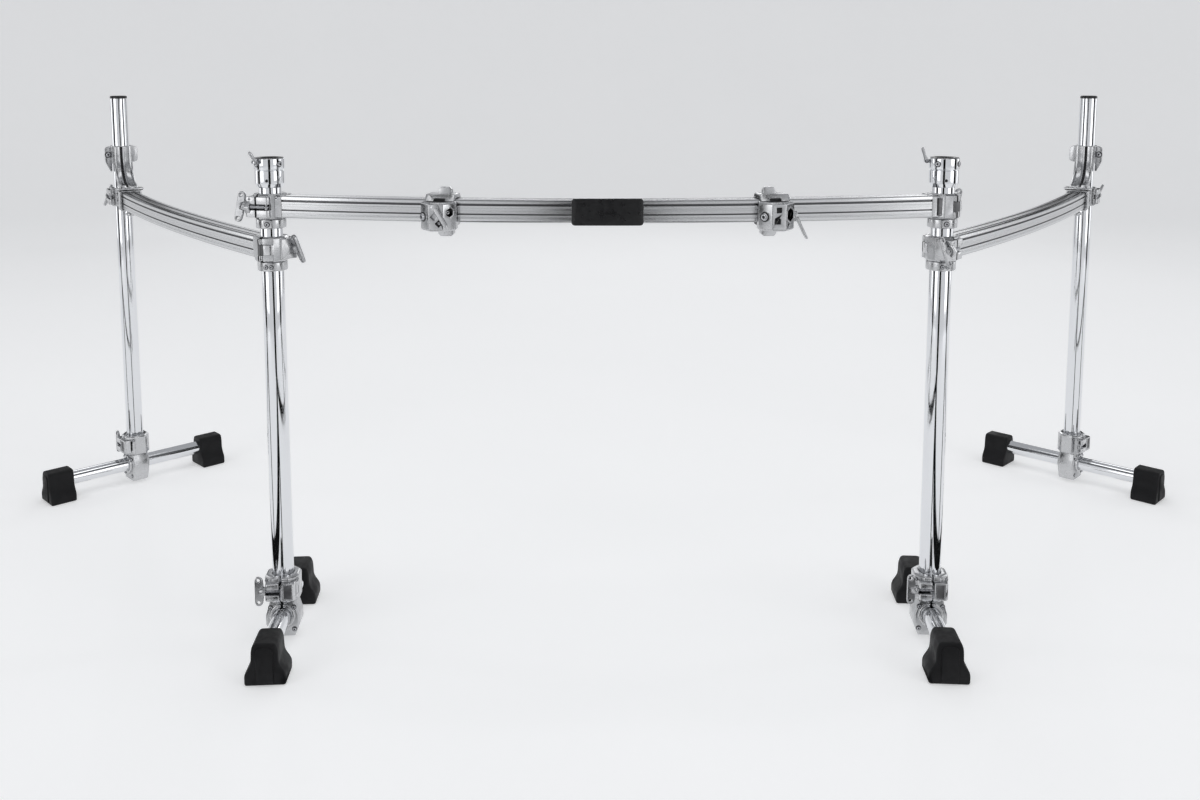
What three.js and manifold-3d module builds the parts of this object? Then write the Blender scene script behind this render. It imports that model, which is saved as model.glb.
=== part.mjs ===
// Four-post drum rack frame: three curved rails, four round posts, hinged clamps and swivelling T-feet.
// Millimetres, +Z up. The rack stands on Z = 0, the front rail runs along X and the wings run back along +Y.

import * as THREE from "three";
import { mergeVertices } from "three/addons/utils/BufferGeometryUtils.js";
import Module from "manifold-3d";

const wasm = await Module();
wasm.setup();

// Overall layout
const FRONT_POST_SPACING = 1160;
const REAR_POST_SPACING = 2310;
const WING_DEPTH = 780;
const WING_RAIL_HEIGHT = 708;
const RAIL_STEP = 74; // the front rail lies this much above the wing rails
const FRONT_RAIL_RADIUS = 2310; // bend of the front rail, in plan
const WING_RAIL_RADIUS = 4600; // the wings are bent less
const FRONT_FOOT_HEADING = THREE.MathUtils.degToRad(-4);
const REAR_FOOT_HEADING = THREE.MathUtils.degToRad(46);

// Shared sections and clearances
const POST_DIAMETER = 38.1;
const POST_WALL = 2;
const RAIL_SIZE = 38.1; // square outer section
const RAIL_WALL = 4.5;
const BORE_CLEARANCE = 0.5; // round bore to round post, all round
const SEAT_GAP = 0.3; // faces that touch
const CUT_OVERRUN = 2; // a cutter reaches this far past what it cuts
const POST_RADIUS = POST_DIAMETER / 2;
const BORE_RADIUS = POST_RADIUS + BORE_CLEARANCE;
const POST_SIDES = 20;
const SMALL_SIDES = 8;
const HINGE_SIDES = 8;
const PIN_SIDES = 6;

// Rail extrusion
const RAIL_CORNER = 3;
const SIDE_GROOVE_WIDTH = 4.4;
const SIDE_GROOVE_DEPTH = 1.8;
const SIDE_GROOVE_SHARES = [-0.13, 0.29]; // heights of the side grooves, as shares of the rail's size
const TOP_GROOVE_WIDTH = 3.6;
const TOP_GROOVE_DEPTH = 1.5;
const TOP_GROOVE_SHARES = [-0.2, 0.2];
const RAIL_FACET_LENGTH = 97; // the rails are faceted in steps of about this length

// Rail clamp, a hinged casting used at both ends of every rail
const CLAMP_HEIGHT = 44;
const CLAMP_FLATS = 8; // the casting's outline is an octagon
const CLAMP_WALL = 8;
const CLAMP_CHAMFER = 3;
const CLAMP_REACH = 31; // post axis to the face that the rail's end butts on
const FLANGE_MARGIN = 1.2; // the flange stands this much proud of the rail, all round
const SPIGOT_LENGTH = 26;
const SPIGOT_CLEARANCE = 0.7;
const CLAMP_SPLIT = 9; // the jaw parts from the body this far beyond the post axis
const SPLIT_GAP = 1.6;
const LUG_DEPTH = 14; // the lugs stand out this far from the post's clamp wall
const LUG_HEIGHT_SHARE = 0.8;
const LUG_LENGTH = 21;
const BOLT_DIAMETER = 8;
const BOLT_SLOT_CLEARANCE = 1;
const HINGE_RADIUS = 4.8;
const HINGE_PIN_RADIUS = 2;
const KNUCKLE_SHARE = 0.4; // the jaw's middle knuckle, as a share of the clamp's height
const RECESS_WIDTH = 12; // pocket in the facet beside the hinge
const RECESS_HEIGHT_SHARE = 0.68;
const RECESS_DEPTH = 2.4;
const DIMPLE_RADIUS = 4.6; // round hollow in the jaw's facet
const DIMPLE_DEPTH = 1.2;

// Wing nut on its bolt
const WING_SPAN = 54;
const WING_WIDTH = 15;
const WING_THICKNESS = 5;
const WING_HUB_RADIUS = 8;
const WING_HUB_LENGTH = 11;
const WING_HOLE_RADIUS = 3.2;
const WING_FOOT_SHARE = 1 / 3; // height on the hub where the wings start
const WING_REST_TURN = THREE.MathUtils.degToRad(20); // how far each rail clamp's wings stand turned
// Outline of one wing, as shares of its reach and of its width
const WING_SHARES = [
  [0, 0],
  [0.45, 0],
  [0.84, 0.16],
  [0.97, 0.36],
  [1, 0.62],
  [0.96, 0.86],
  [0.86, 1],
  [0.7, 0.98],
  [0.3, 0.62],
  [0, 0.5],
];
const WING_HOLE_SHARES = [0.77, 0.58];

// Memory locks on the front posts
const LOCK_HEIGHT = 16;
const LOCK_WALL = 6;
const LOCK_GAP = 4;
const KEY_BOLT_RADIUS = 4.2;
const KEY_BOLT_HEAD = 3;

// Stand cup on top of each front post
const CUP_HEIGHT = 51;
const CUP_WALL = 5.2;
const CUP_BAND_HEIGHT = 21;
const CUP_BAND_PROUD = 0.9;
const CUP_NECK = 7;
const CUP_GROOVE = 1;
const CUP_SEAT_DEPTH = 20; // how far the post reaches up into the cup
const SOCKET_RADIUS = 15.2;
const POST_BELOW_CUP = 10; // bare post between the rail clamp and the cup
const CUP_HOLE_RADIUS = 2.6;
const CUP_LEVER_LENGTH = 25;
const CUP_LEVER_WIDTH = 7;
const CUP_LEVER_THICKNESS = 4;
const CUP_LUG_LENGTH = 10;
const CUP_BOLT_TURNS = [-35, 35];
// Half outline of the lever, as shares of its half width and of its length
const CUP_LEVER_SHARES = [
  [0.5, -0.14],
  [1, 0],
  [0.75, 0.5],
  [0.9, 0.82],
  [0.5, 1],
];
const CUP_TURNS = [THREE.MathUtils.degToRad(62), 0];
const CUP_LEVER_SWINGS = [THREE.MathUtils.degToRad(-40), THREE.MathUtils.degToRad(-18)];

// Rear posts and the curved arms that brace them
const REAR_POST_ABOVE_COLLAR = 112;
const COLLAR_HEIGHT = 42;
const COLLAR_WALL = 4.5;
const COLLAR_RISE = 101; // wing rail's centre up to the middle of the collar
const EAR_LENGTH = 13;
const EAR_THICKNESS = 8;
const ARM_REACH = 97; // post axis to the band round the rail
const ARM_WIDTH = 40;
const ARM_THICKNESS = 13;
const ARM_GROOVE_WIDTH = 9;
const ARM_GROOVE_DEPTH = 4;
const ARM_STEPS = 10;
const BAND_LENGTH = 27;
const BAND_WALL = 4.5;
const BAND_CLEARANCE = 0.9;
const BAND_CORNER = 7;
const KNOB_RADIUS = 11; // grip of the screw under the band
const KNOB_HEIGHT = 8;
const KNOB_NECK_RADIUS = 5;
const KNOB_NECK_HEIGHT = 4;
const CAP_HEIGHT = 6;
const CAP_PLUG_LENGTH = 16;
const CAP_CROWN = 1.2; // the cap draws in this much at its top edge

// T-feet
const FOOT_TUBE_DIAMETER = 31.75;
const FOOT_TUBE_WALL = 2;
const FOOT_TUBE_HEIGHT = 47; // floor to the tube's axis
const FRONT_FOOT_LENGTH = 350;
const REAR_FOOT_LENGTH = 432;
const FOOT_TUBE_SIDES = 16;
const T_CLAMP_TOP = 121;
const T_CLAMP_FLOOR_GAP = 7;
const T_CLAMP_DEPTH = 40; // along the tube
const T_SADDLE_WIDTH = 60;
const T_SADDLE_FOOT_SHARE = 0.7; // width of the saddle's underside, as a share of its widest
const T_COLLAR_WALL = 6;
const T_COLLAR_LENGTH = 4;
const T_BLOCK_HEIGHT = 48;
const T_BLOCK_WIDTH = 60;
const T_BLOCK_DEPTH = 56;
const T_BLOCK_CORNER_SHARE = 0.26;
const T_SPLIT_WIDTH = 4;
const T_LUG_DEPTH = 9;
const T_LUG_WIDTH_SHARE = 0.86;
const T_LUG_HEIGHT_SHARE = 2 / 3;
const T_PANEL_WIDTH = 15; // pocket in the front of the block's fixed half
const T_PANEL_HEIGHT_SHARE = 0.54;
const T_PANEL_DEPTH = 1.8;
const T_OVAL_WIDTH = 7; // upright pocket in the facet beside it
const T_OVAL_HEIGHT = 22;
const T_OVAL_DEPTH = 3;
const T_BOLT_DEPTH = 3; // from the bore's clearance to the bolt

// Rubber feet
const RUBBER_LENGTH = 60;
const RUBBER_HEIGHT = 74;
const RUBBER_BASE_WIDTH = 72;
const RUBBER_TOP_SHARE = 0.5;
const RUBBER_WAIST_SHARE = 0.62;
const RUBBER_WAIST_HEIGHT_SHARE = 0.48;
const RUBBER_TOE_HEIGHT_SHARE = 0.27;
const RUBBER_BEVEL = 4;
const RUBBER_WALL = 12; // rubber beyond the tube's end
const RUBBER_PANEL_PROUD = 2.2; // raised panel on the outer face
const RUBBER_PANEL_SHARE = 0.66;
const RUBBER_PANEL_CORNER = 9;

// Badge plate in the middle of the front rail
const BADGE_WIDTH = 118;
const BADGE_HEIGHT = 45;
const BADGE_THICKNESS = 2.4;
const BADGE_CORNER = 6;
const BADGE_STEPS = 6;

// Accessory clamps that slide along the front rail
const ACCESSORY_SPACING = 550;
const ACCESSORY_WIDTH = 50;
const ACCESSORY_WALL = 8;
const ACCESSORY_CLEARANCE = 0.8;
const ACCESSORY_CORNER = 11;
const HOUSING_WIDTH = 60;
const HOUSING_HEIGHT = 48;
const HOUSING_DEPTH = 30;
const HOUSING_DROP = 7; // the housing's centre lies this far below the rail's
const HOUSING_CORNER_SHARE = 0.3;
const SOCKET_FRAME = 2.4; // rim round the six-sided socket
const SOCKET_DEPTH = 9;
const WINDOW_WIDTH = 19; // square window in the shell's upper front edge
const WINDOW_HEIGHT = 11;
const POCKET_SIZE = 9;
const POCKET_DEPTH = 4;
const BOSS_RADIUS = 8.5; // round seat of the housing's bolt
const BOSS_PROUD = 3;
const TAB_WIDTH = 22;
const TAB_LENGTH = 12;
const TAB_THICKNESS = 12;
const TAB_CORNER = 4;
const TAB_SHIFT = 8; // both tabs stand this far towards the badge
const LATCH_WIDTH = 26; // latch that hangs below the shell
const LATCH_LENGTH = 15;
const LATCH_THICKNESS = 14;
const ACCESSORY_LEVER_LENGTH = 42;
const ACCESSORY_LEVER_WIDTH = 9;
const ACCESSORY_LEVER_THICKNESS = 6;
const ACCESSORY_HUB_RADIUS = 6.5;
const ACCESSORY_LEVER_TAPER_SHARE = 0.8;
// The left and right clamps hold their arms at different faces. Places are shares of the housing's
// width and height from its middle, and the socket's radius is a share of its height.
const ACCESSORY_FRONT_SHARES = [
  { socket: 0.15, rise: 0.14, turned: true, pockets: [[-0.05, 0.01], [0.08, -0.22]], lever: [-0.02, 0.33] },
  { socket: 0.24, rise: 0.06, turned: false, pockets: [[0, 0.24], [-0.03, -0.15]], lever: [0, 0.02] },
];
const ACCESSORY_LEVER_TURNS = [THREE.MathUtils.degToRad(146), THREE.MathUtils.degToRad(180)];
const ACCESSORY_LEAN_SHARES = [0.1, 0.5]; // how far each lever leans out, as a share of its length

// Heights that follow from the sizes above
const FRONT_RAIL_HEIGHT = WING_RAIL_HEIGHT + RAIL_STEP;
const CUP_BOTTOM = FRONT_RAIL_HEIGHT + CLAMP_HEIGHT / 2 + POST_BELOW_CUP;
const COLLAR_HEIGHT_ABOVE_FLOOR = WING_RAIL_HEIGHT + COLLAR_RISE;
const REAR_POST_TOP = COLLAR_HEIGHT_ABOVE_FLOOR + COLLAR_HEIGHT / 2 + REAR_POST_ABOVE_COLLAR;
const T_BLOCK_BOTTOM = T_CLAMP_TOP - T_BLOCK_HEIGHT;
const POST_BOTTOM = T_BLOCK_BOTTOM + SEAT_GAP;

// Finishes
const chrome = new THREE.MeshStandardMaterial({ color: 0xd6d8dc, roughness: 0.12, metalness: 1 });
const castMetal = new THREE.MeshStandardMaterial({ color: 0xc4c6ca, roughness: 0.28, metalness: 1 });
const satinAluminium = new THREE.MeshStandardMaterial({ color: 0xb9bcc2, roughness: 0.38, metalness: 1 });
const blackRubber = new THREE.MeshStandardMaterial({ color: 0x151516, roughness: 0.85, metalness: 0 });
const blackPlastic = new THREE.MeshStandardMaterial({ color: 0x0c0c0d, roughness: 0.45, metalness: 0 });

// Closed solid from a three.js geometry
function solid(geometry) {
  const bare = geometry.index ? geometry.toNonIndexed() : geometry.clone();
  bare.deleteAttribute("normal");
  bare.deleteAttribute("uv");
  const merged = mergeVertices(bare);
  const triVerts = new Uint32Array(merged.index.array);
  const vertProperties = merged.attributes.position.array;
  return new wasm.Manifold(new wasm.Mesh({ numProp: 3, vertProperties, triVerts }));
}

// Named mesh from a closed solid
function piece(name, body, finish) {
  const { vertProperties, triVerts, numProp } = body.getMesh();
  const geometry = new THREE.BufferGeometry();
  geometry.setAttribute("position", new THREE.BufferAttribute(vertProperties, numProp));
  geometry.setIndex(new THREE.BufferAttribute(triVerts, 1));
  geometry.computeVertexNormals();
  const mesh = new THREE.Mesh(geometry, finish.clone());
  mesh.name = name;
  return mesh;
}

// Box by its low and high corners
function box(low, high) {
  const [x, y, z] = high.map((value, i) => value - low[i]);
  const geometry = new THREE.BoxGeometry(x, y, z);
  geometry.translate((low[0] + high[0]) / 2, (low[1] + high[1]) / 2, (low[2] + high[2]) / 2);
  return solid(geometry);
}

// Round rod along an axis, from one place on it to another, at an offset across it
function rod(axis, radius, from, to, across = [0, 0], sides = SMALL_SIDES) {
  const geometry = new THREE.CylinderGeometry(radius, radius, to - from, sides);
  geometry.translate(0, (from + to) / 2, 0);
  if (axis === "x") geometry.rotateZ(-Math.PI / 2).translate(0, across[0], across[1]);
  if (axis === "y") geometry.translate(across[0], 0, across[1]);
  if (axis === "z") geometry.rotateX(Math.PI / 2).translate(across[0], across[1], 0);
  return solid(geometry);
}

// Solid of revolution about Z from [radius, height] points that close on themselves
function revolve(profile, sides = POST_SIDES) {
  const points = [...profile, profile[0]].map(([r, z]) => new THREE.Vector2(r, z));
  return solid(new THREE.LatheGeometry(points, sides).rotateX(Math.PI / 2));
}

// Round tube round Z
function tube(outer, inner, bottom, top, sides = POST_SIDES) {
  return revolve([[inner, bottom], [outer, bottom], [outer, top], [inner, top]], sides);
}

// Closed outline through corner points
function outline(points) {
  return new THREE.Shape(points.map(([x, y]) => new THREE.Vector2(x, y)));
}

// Rectangle outline
function rectangle(width, height) {
  const x = width / 2;
  const y = height / 2;
  return outline([[x, -y], [x, y], [-x, y], [-x, -y]]);
}

// Rectangle outline with cut corners
function cutRectangle(width, height, corner) {
  const x = width / 2;
  const y = height / 2;
  return outline([
    [x - corner, -y],
    [x, corner - y],
    [x, y - corner],
    [x - corner, y],
    [corner - x, y],
    [-x, y - corner],
    [-x, corner - y],
    [corner - x, -y],
  ]);
}

// Plate of the outline with a bevel on both faces; its thickness includes the bevels
function plate(shape, thickness, bevel = 0) {
  const geometry = new THREE.ExtrudeGeometry(shape, {
    depth: thickness - 2 * bevel,
    bevelEnabled: bevel > 0,
    bevelThickness: bevel,
    bevelSize: bevel,
    bevelOffset: -bevel,
    bevelSegments: 1,
    curveSegments: 6,
  });
  return geometry.translate(0, 0, bevel - thickness / 2);
}

// Geometry drawn along Z, bent in plan round the rail's centre of curvature.
// Its X becomes the outward side of the bend and its Y becomes up.
function bend(geometry, length, radius, bow) {
  const position = geometry.attributes.position;
  for (let i = 0; i < position.count; i += 1) {
    const reach = radius + position.getX(i);
    const angle = (length / 2 - position.getZ(i)) / radius;
    const height = position.getY(i);
    position.setXYZ(i, reach * Math.sin(angle), radius - bow - reach * Math.cos(angle), height);
  }
  return geometry;
}

// How far an arc stands off its chord
function bowOf(chord, radius) {
  return radius - Math.sqrt(radius ** 2 - (chord / 2) ** 2);
}

// Half of the angle that the arc over a chord turns through
function halfTurnOf(chord, radius) {
  return Math.asin(chord / 2 / radius);
}

// Outline of the grooved rail section
function railSection() {
  const half = RAIL_SIZE / 2;
  const sideNotch = (share, side) => {
    const y = side * share * RAIL_SIZE;
    const w = (side * SIDE_GROOVE_WIDTH) / 2;
    const mouth = side * half;
    const floor = side * (half - SIDE_GROOVE_DEPTH);
    return [[mouth, y - w], [floor, y], [mouth, y + w]];
  };
  const topNotch = (share, side) => {
    const x = -side * share * RAIL_SIZE;
    const w = (side * TOP_GROOVE_WIDTH) / 2;
    const mouth = side * half;
    const floor = side * (half - TOP_GROOVE_DEPTH);
    return [[x + w, mouth], [x, floor], [x - w, mouth]];
  };
  const c = half - RAIL_CORNER;
  const section = outline([
    [half, -c],
    ...SIDE_GROOVE_SHARES.flatMap((share) => sideNotch(share, 1)),
    [half, c],
    [c, half],
    ...TOP_GROOVE_SHARES.flatMap((share) => topNotch(share, 1)),
    [-c, half],
    [-half, c],
    ...[...SIDE_GROOVE_SHARES].reverse().flatMap((share) => sideNotch(-share, -1)),
    [-half, -c],
    [-c, -half],
    ...TOP_GROOVE_SHARES.flatMap((share) => topNotch(share, -1)),
    [c, -half],
  ]);
  return section;
}

// Hollow curved rail between two post axes, with its ends set back to the clamps' flanges
function railSolid(chord, radius) {
  const section = railSection();
  const inner = RAIL_SIZE - 2 * RAIL_WALL;
  section.holes.push(rectangle(inner, inner));
  const length = 2 * (halfTurnOf(chord, radius) * radius - CLAMP_REACH - SEAT_GAP);
  const steps = Math.max(1, Math.round(length / RAIL_FACET_LENGTH));
  const straight = new THREE.ExtrudeGeometry(section, { depth: length, steps, bevelEnabled: false });
  return solid(bend(straight, length, radius, bowOf(chord, radius)));
}

// Clamp sizes that the casting's halves share
const CLAMP_RADIUS = BORE_RADIUS + CLAMP_WALL;
const LUG_FRONT = CLAMP_RADIUS + LUG_DEPTH - CLAMP_WALL;
const BOLT_OFFSET = CLAMP_RADIUS + BOLT_DIAMETER / 2 - CLAMP_WALL / 2;
const SLOT_HEIGHT = BOLT_DIAMETER + 2 * BOLT_SLOT_CLEARANCE;
const HINGE_OFFSET = CLAMP_RADIUS - HINGE_RADIUS / 4;
const CLAMP_CORNER_RADIUS = CLAMP_RADIUS / Math.cos(Math.PI / CLAMP_FLATS);
const JAW_FACE = CLAMP_SPLIT + LUG_LENGTH;

// Eight-sided block round the post axis with cut edges; its bore is cut later
function clampRing() {
  const z = CLAMP_HEIGHT / 2;
  const edge = CLAMP_CORNER_RADIUS - CLAMP_CHAMFER;
  const profile = [
    [0, -z],
    [edge, -z],
    [CLAMP_CORNER_RADIUS, CLAMP_CHAMFER - z],
    [CLAMP_CORNER_RADIUS, z - CLAMP_CHAMFER],
    [edge, z],
    [0, z],
  ];
  return revolve(profile, CLAMP_FLATS).rotate([0, 0, 180 / CLAMP_FLATS]);
}

// Cutter for a hollow in the facet that faces the given turn in plan
function facetPocket(shape, depth, degrees) {
  const geometry = plate(shape, 2 * depth).rotateX(Math.PI / 2).rotateZ(Math.PI / 2);
  geometry.translate(CLAMP_RADIUS, 0, 0).rotateZ(THREE.MathUtils.degToRad(degrees));
  return solid(geometry);
}

// Round outline with few sides
function roundOutline(radius, sides = SMALL_SIDES) {
  const points = [];
  for (let i = 0; i < sides; i += 1) {
    const turn = ((i + 0.5) / sides) * 2 * Math.PI;
    points.push([radius * Math.cos(turn), radius * Math.sin(turn)]);
  }
  return outline(points);
}

// Everything on one side of an X plane
function beside(x, side, reach) {
  const limits = side > 0 ? [x, reach] : [-reach, x];
  return box([limits[0], -reach, -reach], [limits[1], reach, reach]);
}

// Slot that the eyebolt lies in, open to the front
function boltSlot() {
  const z = SLOT_HEIGHT / 2;
  const floor = -BOLT_OFFSET + z;
  return box([-JAW_FACE - CUT_OVERRUN, -LUG_FRONT - CUT_OVERRUN, -z], [CLAMP_RADIUS / 2, floor, z]);
}

// Front lug between two X places
function lug(from, to) {
  const z = (CLAMP_HEIGHT * LUG_HEIGHT_SHARE) / 2;
  const shape = cutRectangle(to - from, LUG_FRONT, CLAMP_CHAMFER);
  const geometry = plate(shape, 2 * z);
  geometry.translate((from + to) / 2, -LUG_FRONT / 2, 0);
  return solid(geometry);
}

// Body of the rail clamp: ring half, rail flange with its spigot, lug and outer hinge knuckles
function clampBodySolid(split) {
  const far = CLAMP_REACH + SPIGOT_LENGTH + LUG_FRONT;
  const flangeSize = RAIL_SIZE + 2 * FLANGE_MARGIN;
  const spigotSize = RAIL_SIZE - 2 * RAIL_WALL - 2 * SPIGOT_CLEARANCE;
  const flange = plate(cutRectangle(flangeSize, flangeSize, RAIL_CORNER), CLAMP_REACH);
  flange.rotateY(Math.PI / 2).translate(CLAMP_REACH / 2, 0, 0);
  const spigot = plate(rectangle(spigotSize, spigotSize), SPIGOT_LENGTH + CLAMP_WALL);
  spigot.rotateY(Math.PI / 2).translate(CLAMP_REACH + (SPIGOT_LENGTH - CLAMP_WALL) / 2, 0, 0);
  let body = clampRing().add(solid(flange)).add(solid(spigot));
  body = body.add(lug(-JAW_FACE, CLAMP_RADIUS / 2));
  if (split) {
    body = body.add(hingeBarrel());
    body = body.intersect(beside(-CLAMP_SPLIT, 1, far));
    body = body.subtract(hingeGap());
    body = body.add(hingePin(HINGE_PIN_RADIUS));
    body = body.add(hingeEnds());
  }
  const recess = rectangle(RECESS_WIDTH, CLAMP_HEIGHT * RECESS_HEIGHT_SHARE);
  body = body.subtract(facetPocket(recess, RECESS_DEPTH, 360 / CLAMP_FLATS));
  body = body.subtract(postBore(CLAMP_HEIGHT)).subtract(boltSlot());
  const pinHeight = SLOT_HEIGHT / 2 + BOLT_SLOT_CLEARANCE;
  const eyePin = rod("z", BOLT_DIAMETER / 3, -pinHeight, pinHeight, [CLAMP_RADIUS / 4, -BOLT_OFFSET]);
  return body.add(eyePin);
}

// Where the jaw's hinge stands in plan
function hingePlace() {
  return [-CLAMP_SPLIT, HINGE_OFFSET];
}

// Whole hinge barrel with the web that joins it to the ring
function hingeBarrel() {
  const z = CLAMP_HEIGHT / 2 - CLAMP_CHAMFER;
  const web = box(
    [-CLAMP_SPLIT - HINGE_RADIUS, BORE_RADIUS, -z],
    [-CLAMP_SPLIT + HINGE_RADIUS, HINGE_OFFSET, z],
  );
  return rod("z", HINGE_RADIUS, -z, z, hingePlace(), HINGE_SIDES).add(web);
}

// Pin through the jaw's knuckle, between the body's two
function hingePin(radius) {
  const z = (CLAMP_HEIGHT * KNUCKLE_SHARE) / 2 + HINGE_RADIUS;
  return rod("z", radius, -z, z, hingePlace(), PIN_SIDES);
}

// Room in the body for the jaw's middle knuckle
function hingeGap() {
  const z = (CLAMP_HEIGHT * KNUCKLE_SHARE) / 2 + SEAT_GAP;
  return rod("z", HINGE_RADIUS + SEAT_GAP, -z, z, hingePlace(), HINGE_SIDES);
}

// The body's two knuckles, above and below the jaw's
function hingeEnds() {
  const near = (CLAMP_HEIGHT * KNUCKLE_SHARE) / 2 + SEAT_GAP;
  const far = CLAMP_HEIGHT / 2 - CLAMP_CHAMFER;
  const upper = rod("z", HINGE_RADIUS, near, far, hingePlace(), HINGE_SIDES);
  return upper.add(rod("z", HINGE_RADIUS, -far, -near, hingePlace(), HINGE_SIDES));
}

// Bore for the post
function postBore(height) {
  const z = height / 2 + CUT_OVERRUN;
  return rod("z", BORE_RADIUS, -z, z, [0, 0], POST_SIDES);
}

// Jaw of the rail clamp, hinged at the back and drawn up by the eyebolt in front
function clampJawSolid() {
  const far = CLAMP_REACH + SPIGOT_LENGTH + LUG_FRONT;
  const face = -CLAMP_SPLIT - SPLIT_GAP;
  const z = (CLAMP_HEIGHT * KNUCKLE_SHARE) / 2;
  let jaw = clampRing().add(lug(-JAW_FACE, CLAMP_RADIUS / 2)).intersect(beside(face, -1, far));
  jaw = jaw.subtract(facetPocket(roundOutline(DIMPLE_RADIUS), DIMPLE_DEPTH, 180 - 360 / CLAMP_FLATS));
  const room = HINGE_RADIUS + SEAT_GAP;
  jaw = jaw.subtract(rod("z", room, -CLAMP_HEIGHT, CLAMP_HEIGHT, hingePlace(), HINGE_SIDES));
  const knuckle = rod("z", HINGE_RADIUS, -z, z, hingePlace(), HINGE_SIDES);
  const web = box([-CLAMP_RADIUS, BORE_RADIUS / 2, -z], [-CLAMP_SPLIT, HINGE_OFFSET, z]);
  jaw = jaw.add(knuckle).add(web.intersect(clampWedge()));
  jaw = jaw.subtract(hingePin(HINGE_PIN_RADIUS + SEAT_GAP));
  return jaw.subtract(postBore(CLAMP_HEIGHT)).subtract(boltSlot());
}

// The rounded shoulder that carries the jaw's knuckle
function clampWedge() {
  const reach = HINGE_OFFSET + HINGE_RADIUS;
  return rod("z", reach, -CLAMP_HEIGHT / 2, CLAMP_HEIGHT / 2, [0, 0], POST_SIDES);
}

// Wing nut with its bolt: the axis is Z, the nut's seat is Z = 0 and the bolt runs down to -length
function wingBoltSolid(length) {
  const top = WING_HUB_LENGTH;
  const r = BOLT_DIAMETER / 2;
  const stem = revolve(
    [
      [0, -length],
      [r, -length],
      [r, 0],
      [WING_HUB_RADIUS, 0],
      [WING_HUB_RADIUS - r / 2, top],
      [0, top],
    ],
    SMALL_SIDES,
  );
  const wing = (side) => {
    const reach = side * (WING_SPAN / 2);
    const low = top * WING_FOOT_SHARE;
    const place = ([x, y]) => [x * reach, low + y * WING_WIDTH];
    const flat = plate(outline(WING_SHARES.map(place)), WING_THICKNESS).rotateX(Math.PI / 2);
    const eye = place(WING_HOLE_SHARES);
    const hole = rod("y", WING_HOLE_RADIUS, -WING_THICKNESS, WING_THICKNESS, eye, PIN_SIDES);
    return solid(flat).subtract(hole);
  };
  return stem.add(wing(1)).add(wing(-1));
}

// Lock ring with a gap and a key bolt
function lockSolid() {
  const outer = BORE_RADIUS + LOCK_WALL;
  const z = LOCK_HEIGHT / 2;
  const ring = tube(outer, BORE_RADIUS, -z, z);
  const gap = box([-LOCK_GAP / 2, 0, -z - CUT_OVERRUN], [LOCK_GAP / 2, outer + CUT_OVERRUN, z + CUT_OVERRUN]);
  const head = rod("y", KEY_BOLT_RADIUS, -outer - KEY_BOLT_HEAD, -BORE_RADIUS - LOCK_WALL / 2);
  return ring.subtract(gap).add(head);
}

// Stand cup: a socket sleeve that seats on the post's top end, with a split band and key bolts
function cupSolid() {
  const outer = BORE_RADIUS + CUP_WALL;
  const band = outer + CUP_BAND_PROUD;
  const seam = CUP_HEIGHT - CUP_BAND_HEIGHT;
  const seat = CUP_SEAT_DEPTH + SEAT_GAP;
  const sleeve = revolve([
    [BORE_RADIUS, 0],
    [outer - CUP_WALL / 2, 0],
    [outer, CUP_NECK],
    [outer, seam - CUP_GROOVE],
    [outer - CUP_GROOVE, seam],
    [band, seam + CUP_GROOVE],
    [band, CUP_HEIGHT],
    [SOCKET_RADIUS, CUP_HEIGHT],
    [SOCKET_RADIUS, seat],
    [BORE_RADIUS, seat],
  ]);
  const boltHeight = seam + CUP_BAND_HEIGHT / 2;
  const heads = CUP_BOLT_TURNS.map((degrees) => {
    const head = new THREE.CylinderGeometry(KEY_BOLT_RADIUS, KEY_BOLT_RADIUS, KEY_BOLT_HEAD, SMALL_SIDES);
    head.translate(0, -band, 0).rotateZ(THREE.MathUtils.degToRad(degrees)).translate(0, 0, boltHeight);
    return solid(head);
  });
  const holePlace = [0, (CUP_NECK + seam) / 2];
  const hole = rod("y", CUP_HOLE_RADIUS, -outer - CUT_OVERRUN, CUP_WALL / 2 - outer, holePlace);
  const lugHeight = CUP_HEIGHT - CUP_BAND_HEIGHT / 3;
  const z = CUP_LEVER_WIDTH / 2;
  const leverLug = box(
    [-band - CUP_LUG_LENGTH / 2, CUP_LEVER_THICKNESS / 2 + SEAT_GAP, lugHeight - z],
    [-SOCKET_RADIUS - CUP_WALL, CUP_LUG_LENGTH, lugHeight + z],
  );
  return sleeve.add(heads[0]).add(heads[1]).add(leverLug).subtract(hole);
}

// Where the cup's lever turns, in the cup's own frame
function cupLeverPlace() {
  const band = BORE_RADIUS + CUP_WALL + CUP_BAND_PROUD;
  return [-band - CUP_LUG_LENGTH / 2, CUP_HEIGHT - CUP_BAND_HEIGHT / 3];
}

// Lever on the cup's band: a tapered bar with a round end, turning about Y and pointing up
function cupLeverSolid() {
  const half = CUP_LEVER_SHARES.map(([x, y]) => [(x * CUP_LEVER_WIDTH) / 2, y * CUP_LEVER_LENGTH]);
  const mirrored = half.map(([x, y]) => [-x, y]).reverse();
  const bar = plate(outline([...half, ...mirrored]), CUP_LEVER_THICKNESS, CUP_LEVER_THICKNESS / 5);
  return solid(bar.rotateX(Math.PI / 2));
}

// Cap with a plug that fits inside a rear post
function capSolid() {
  const plug = POST_RADIUS - POST_WALL - SEAT_GAP;
  return revolve([
    [0, -CAP_PLUG_LENGTH],
    [plug, -CAP_PLUG_LENGTH],
    [plug, SEAT_GAP],
    [POST_RADIUS, SEAT_GAP],
    [POST_RADIUS - CAP_CROWN, CAP_HEIGHT],
    [0, CAP_HEIGHT],
  ]);
}

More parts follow.
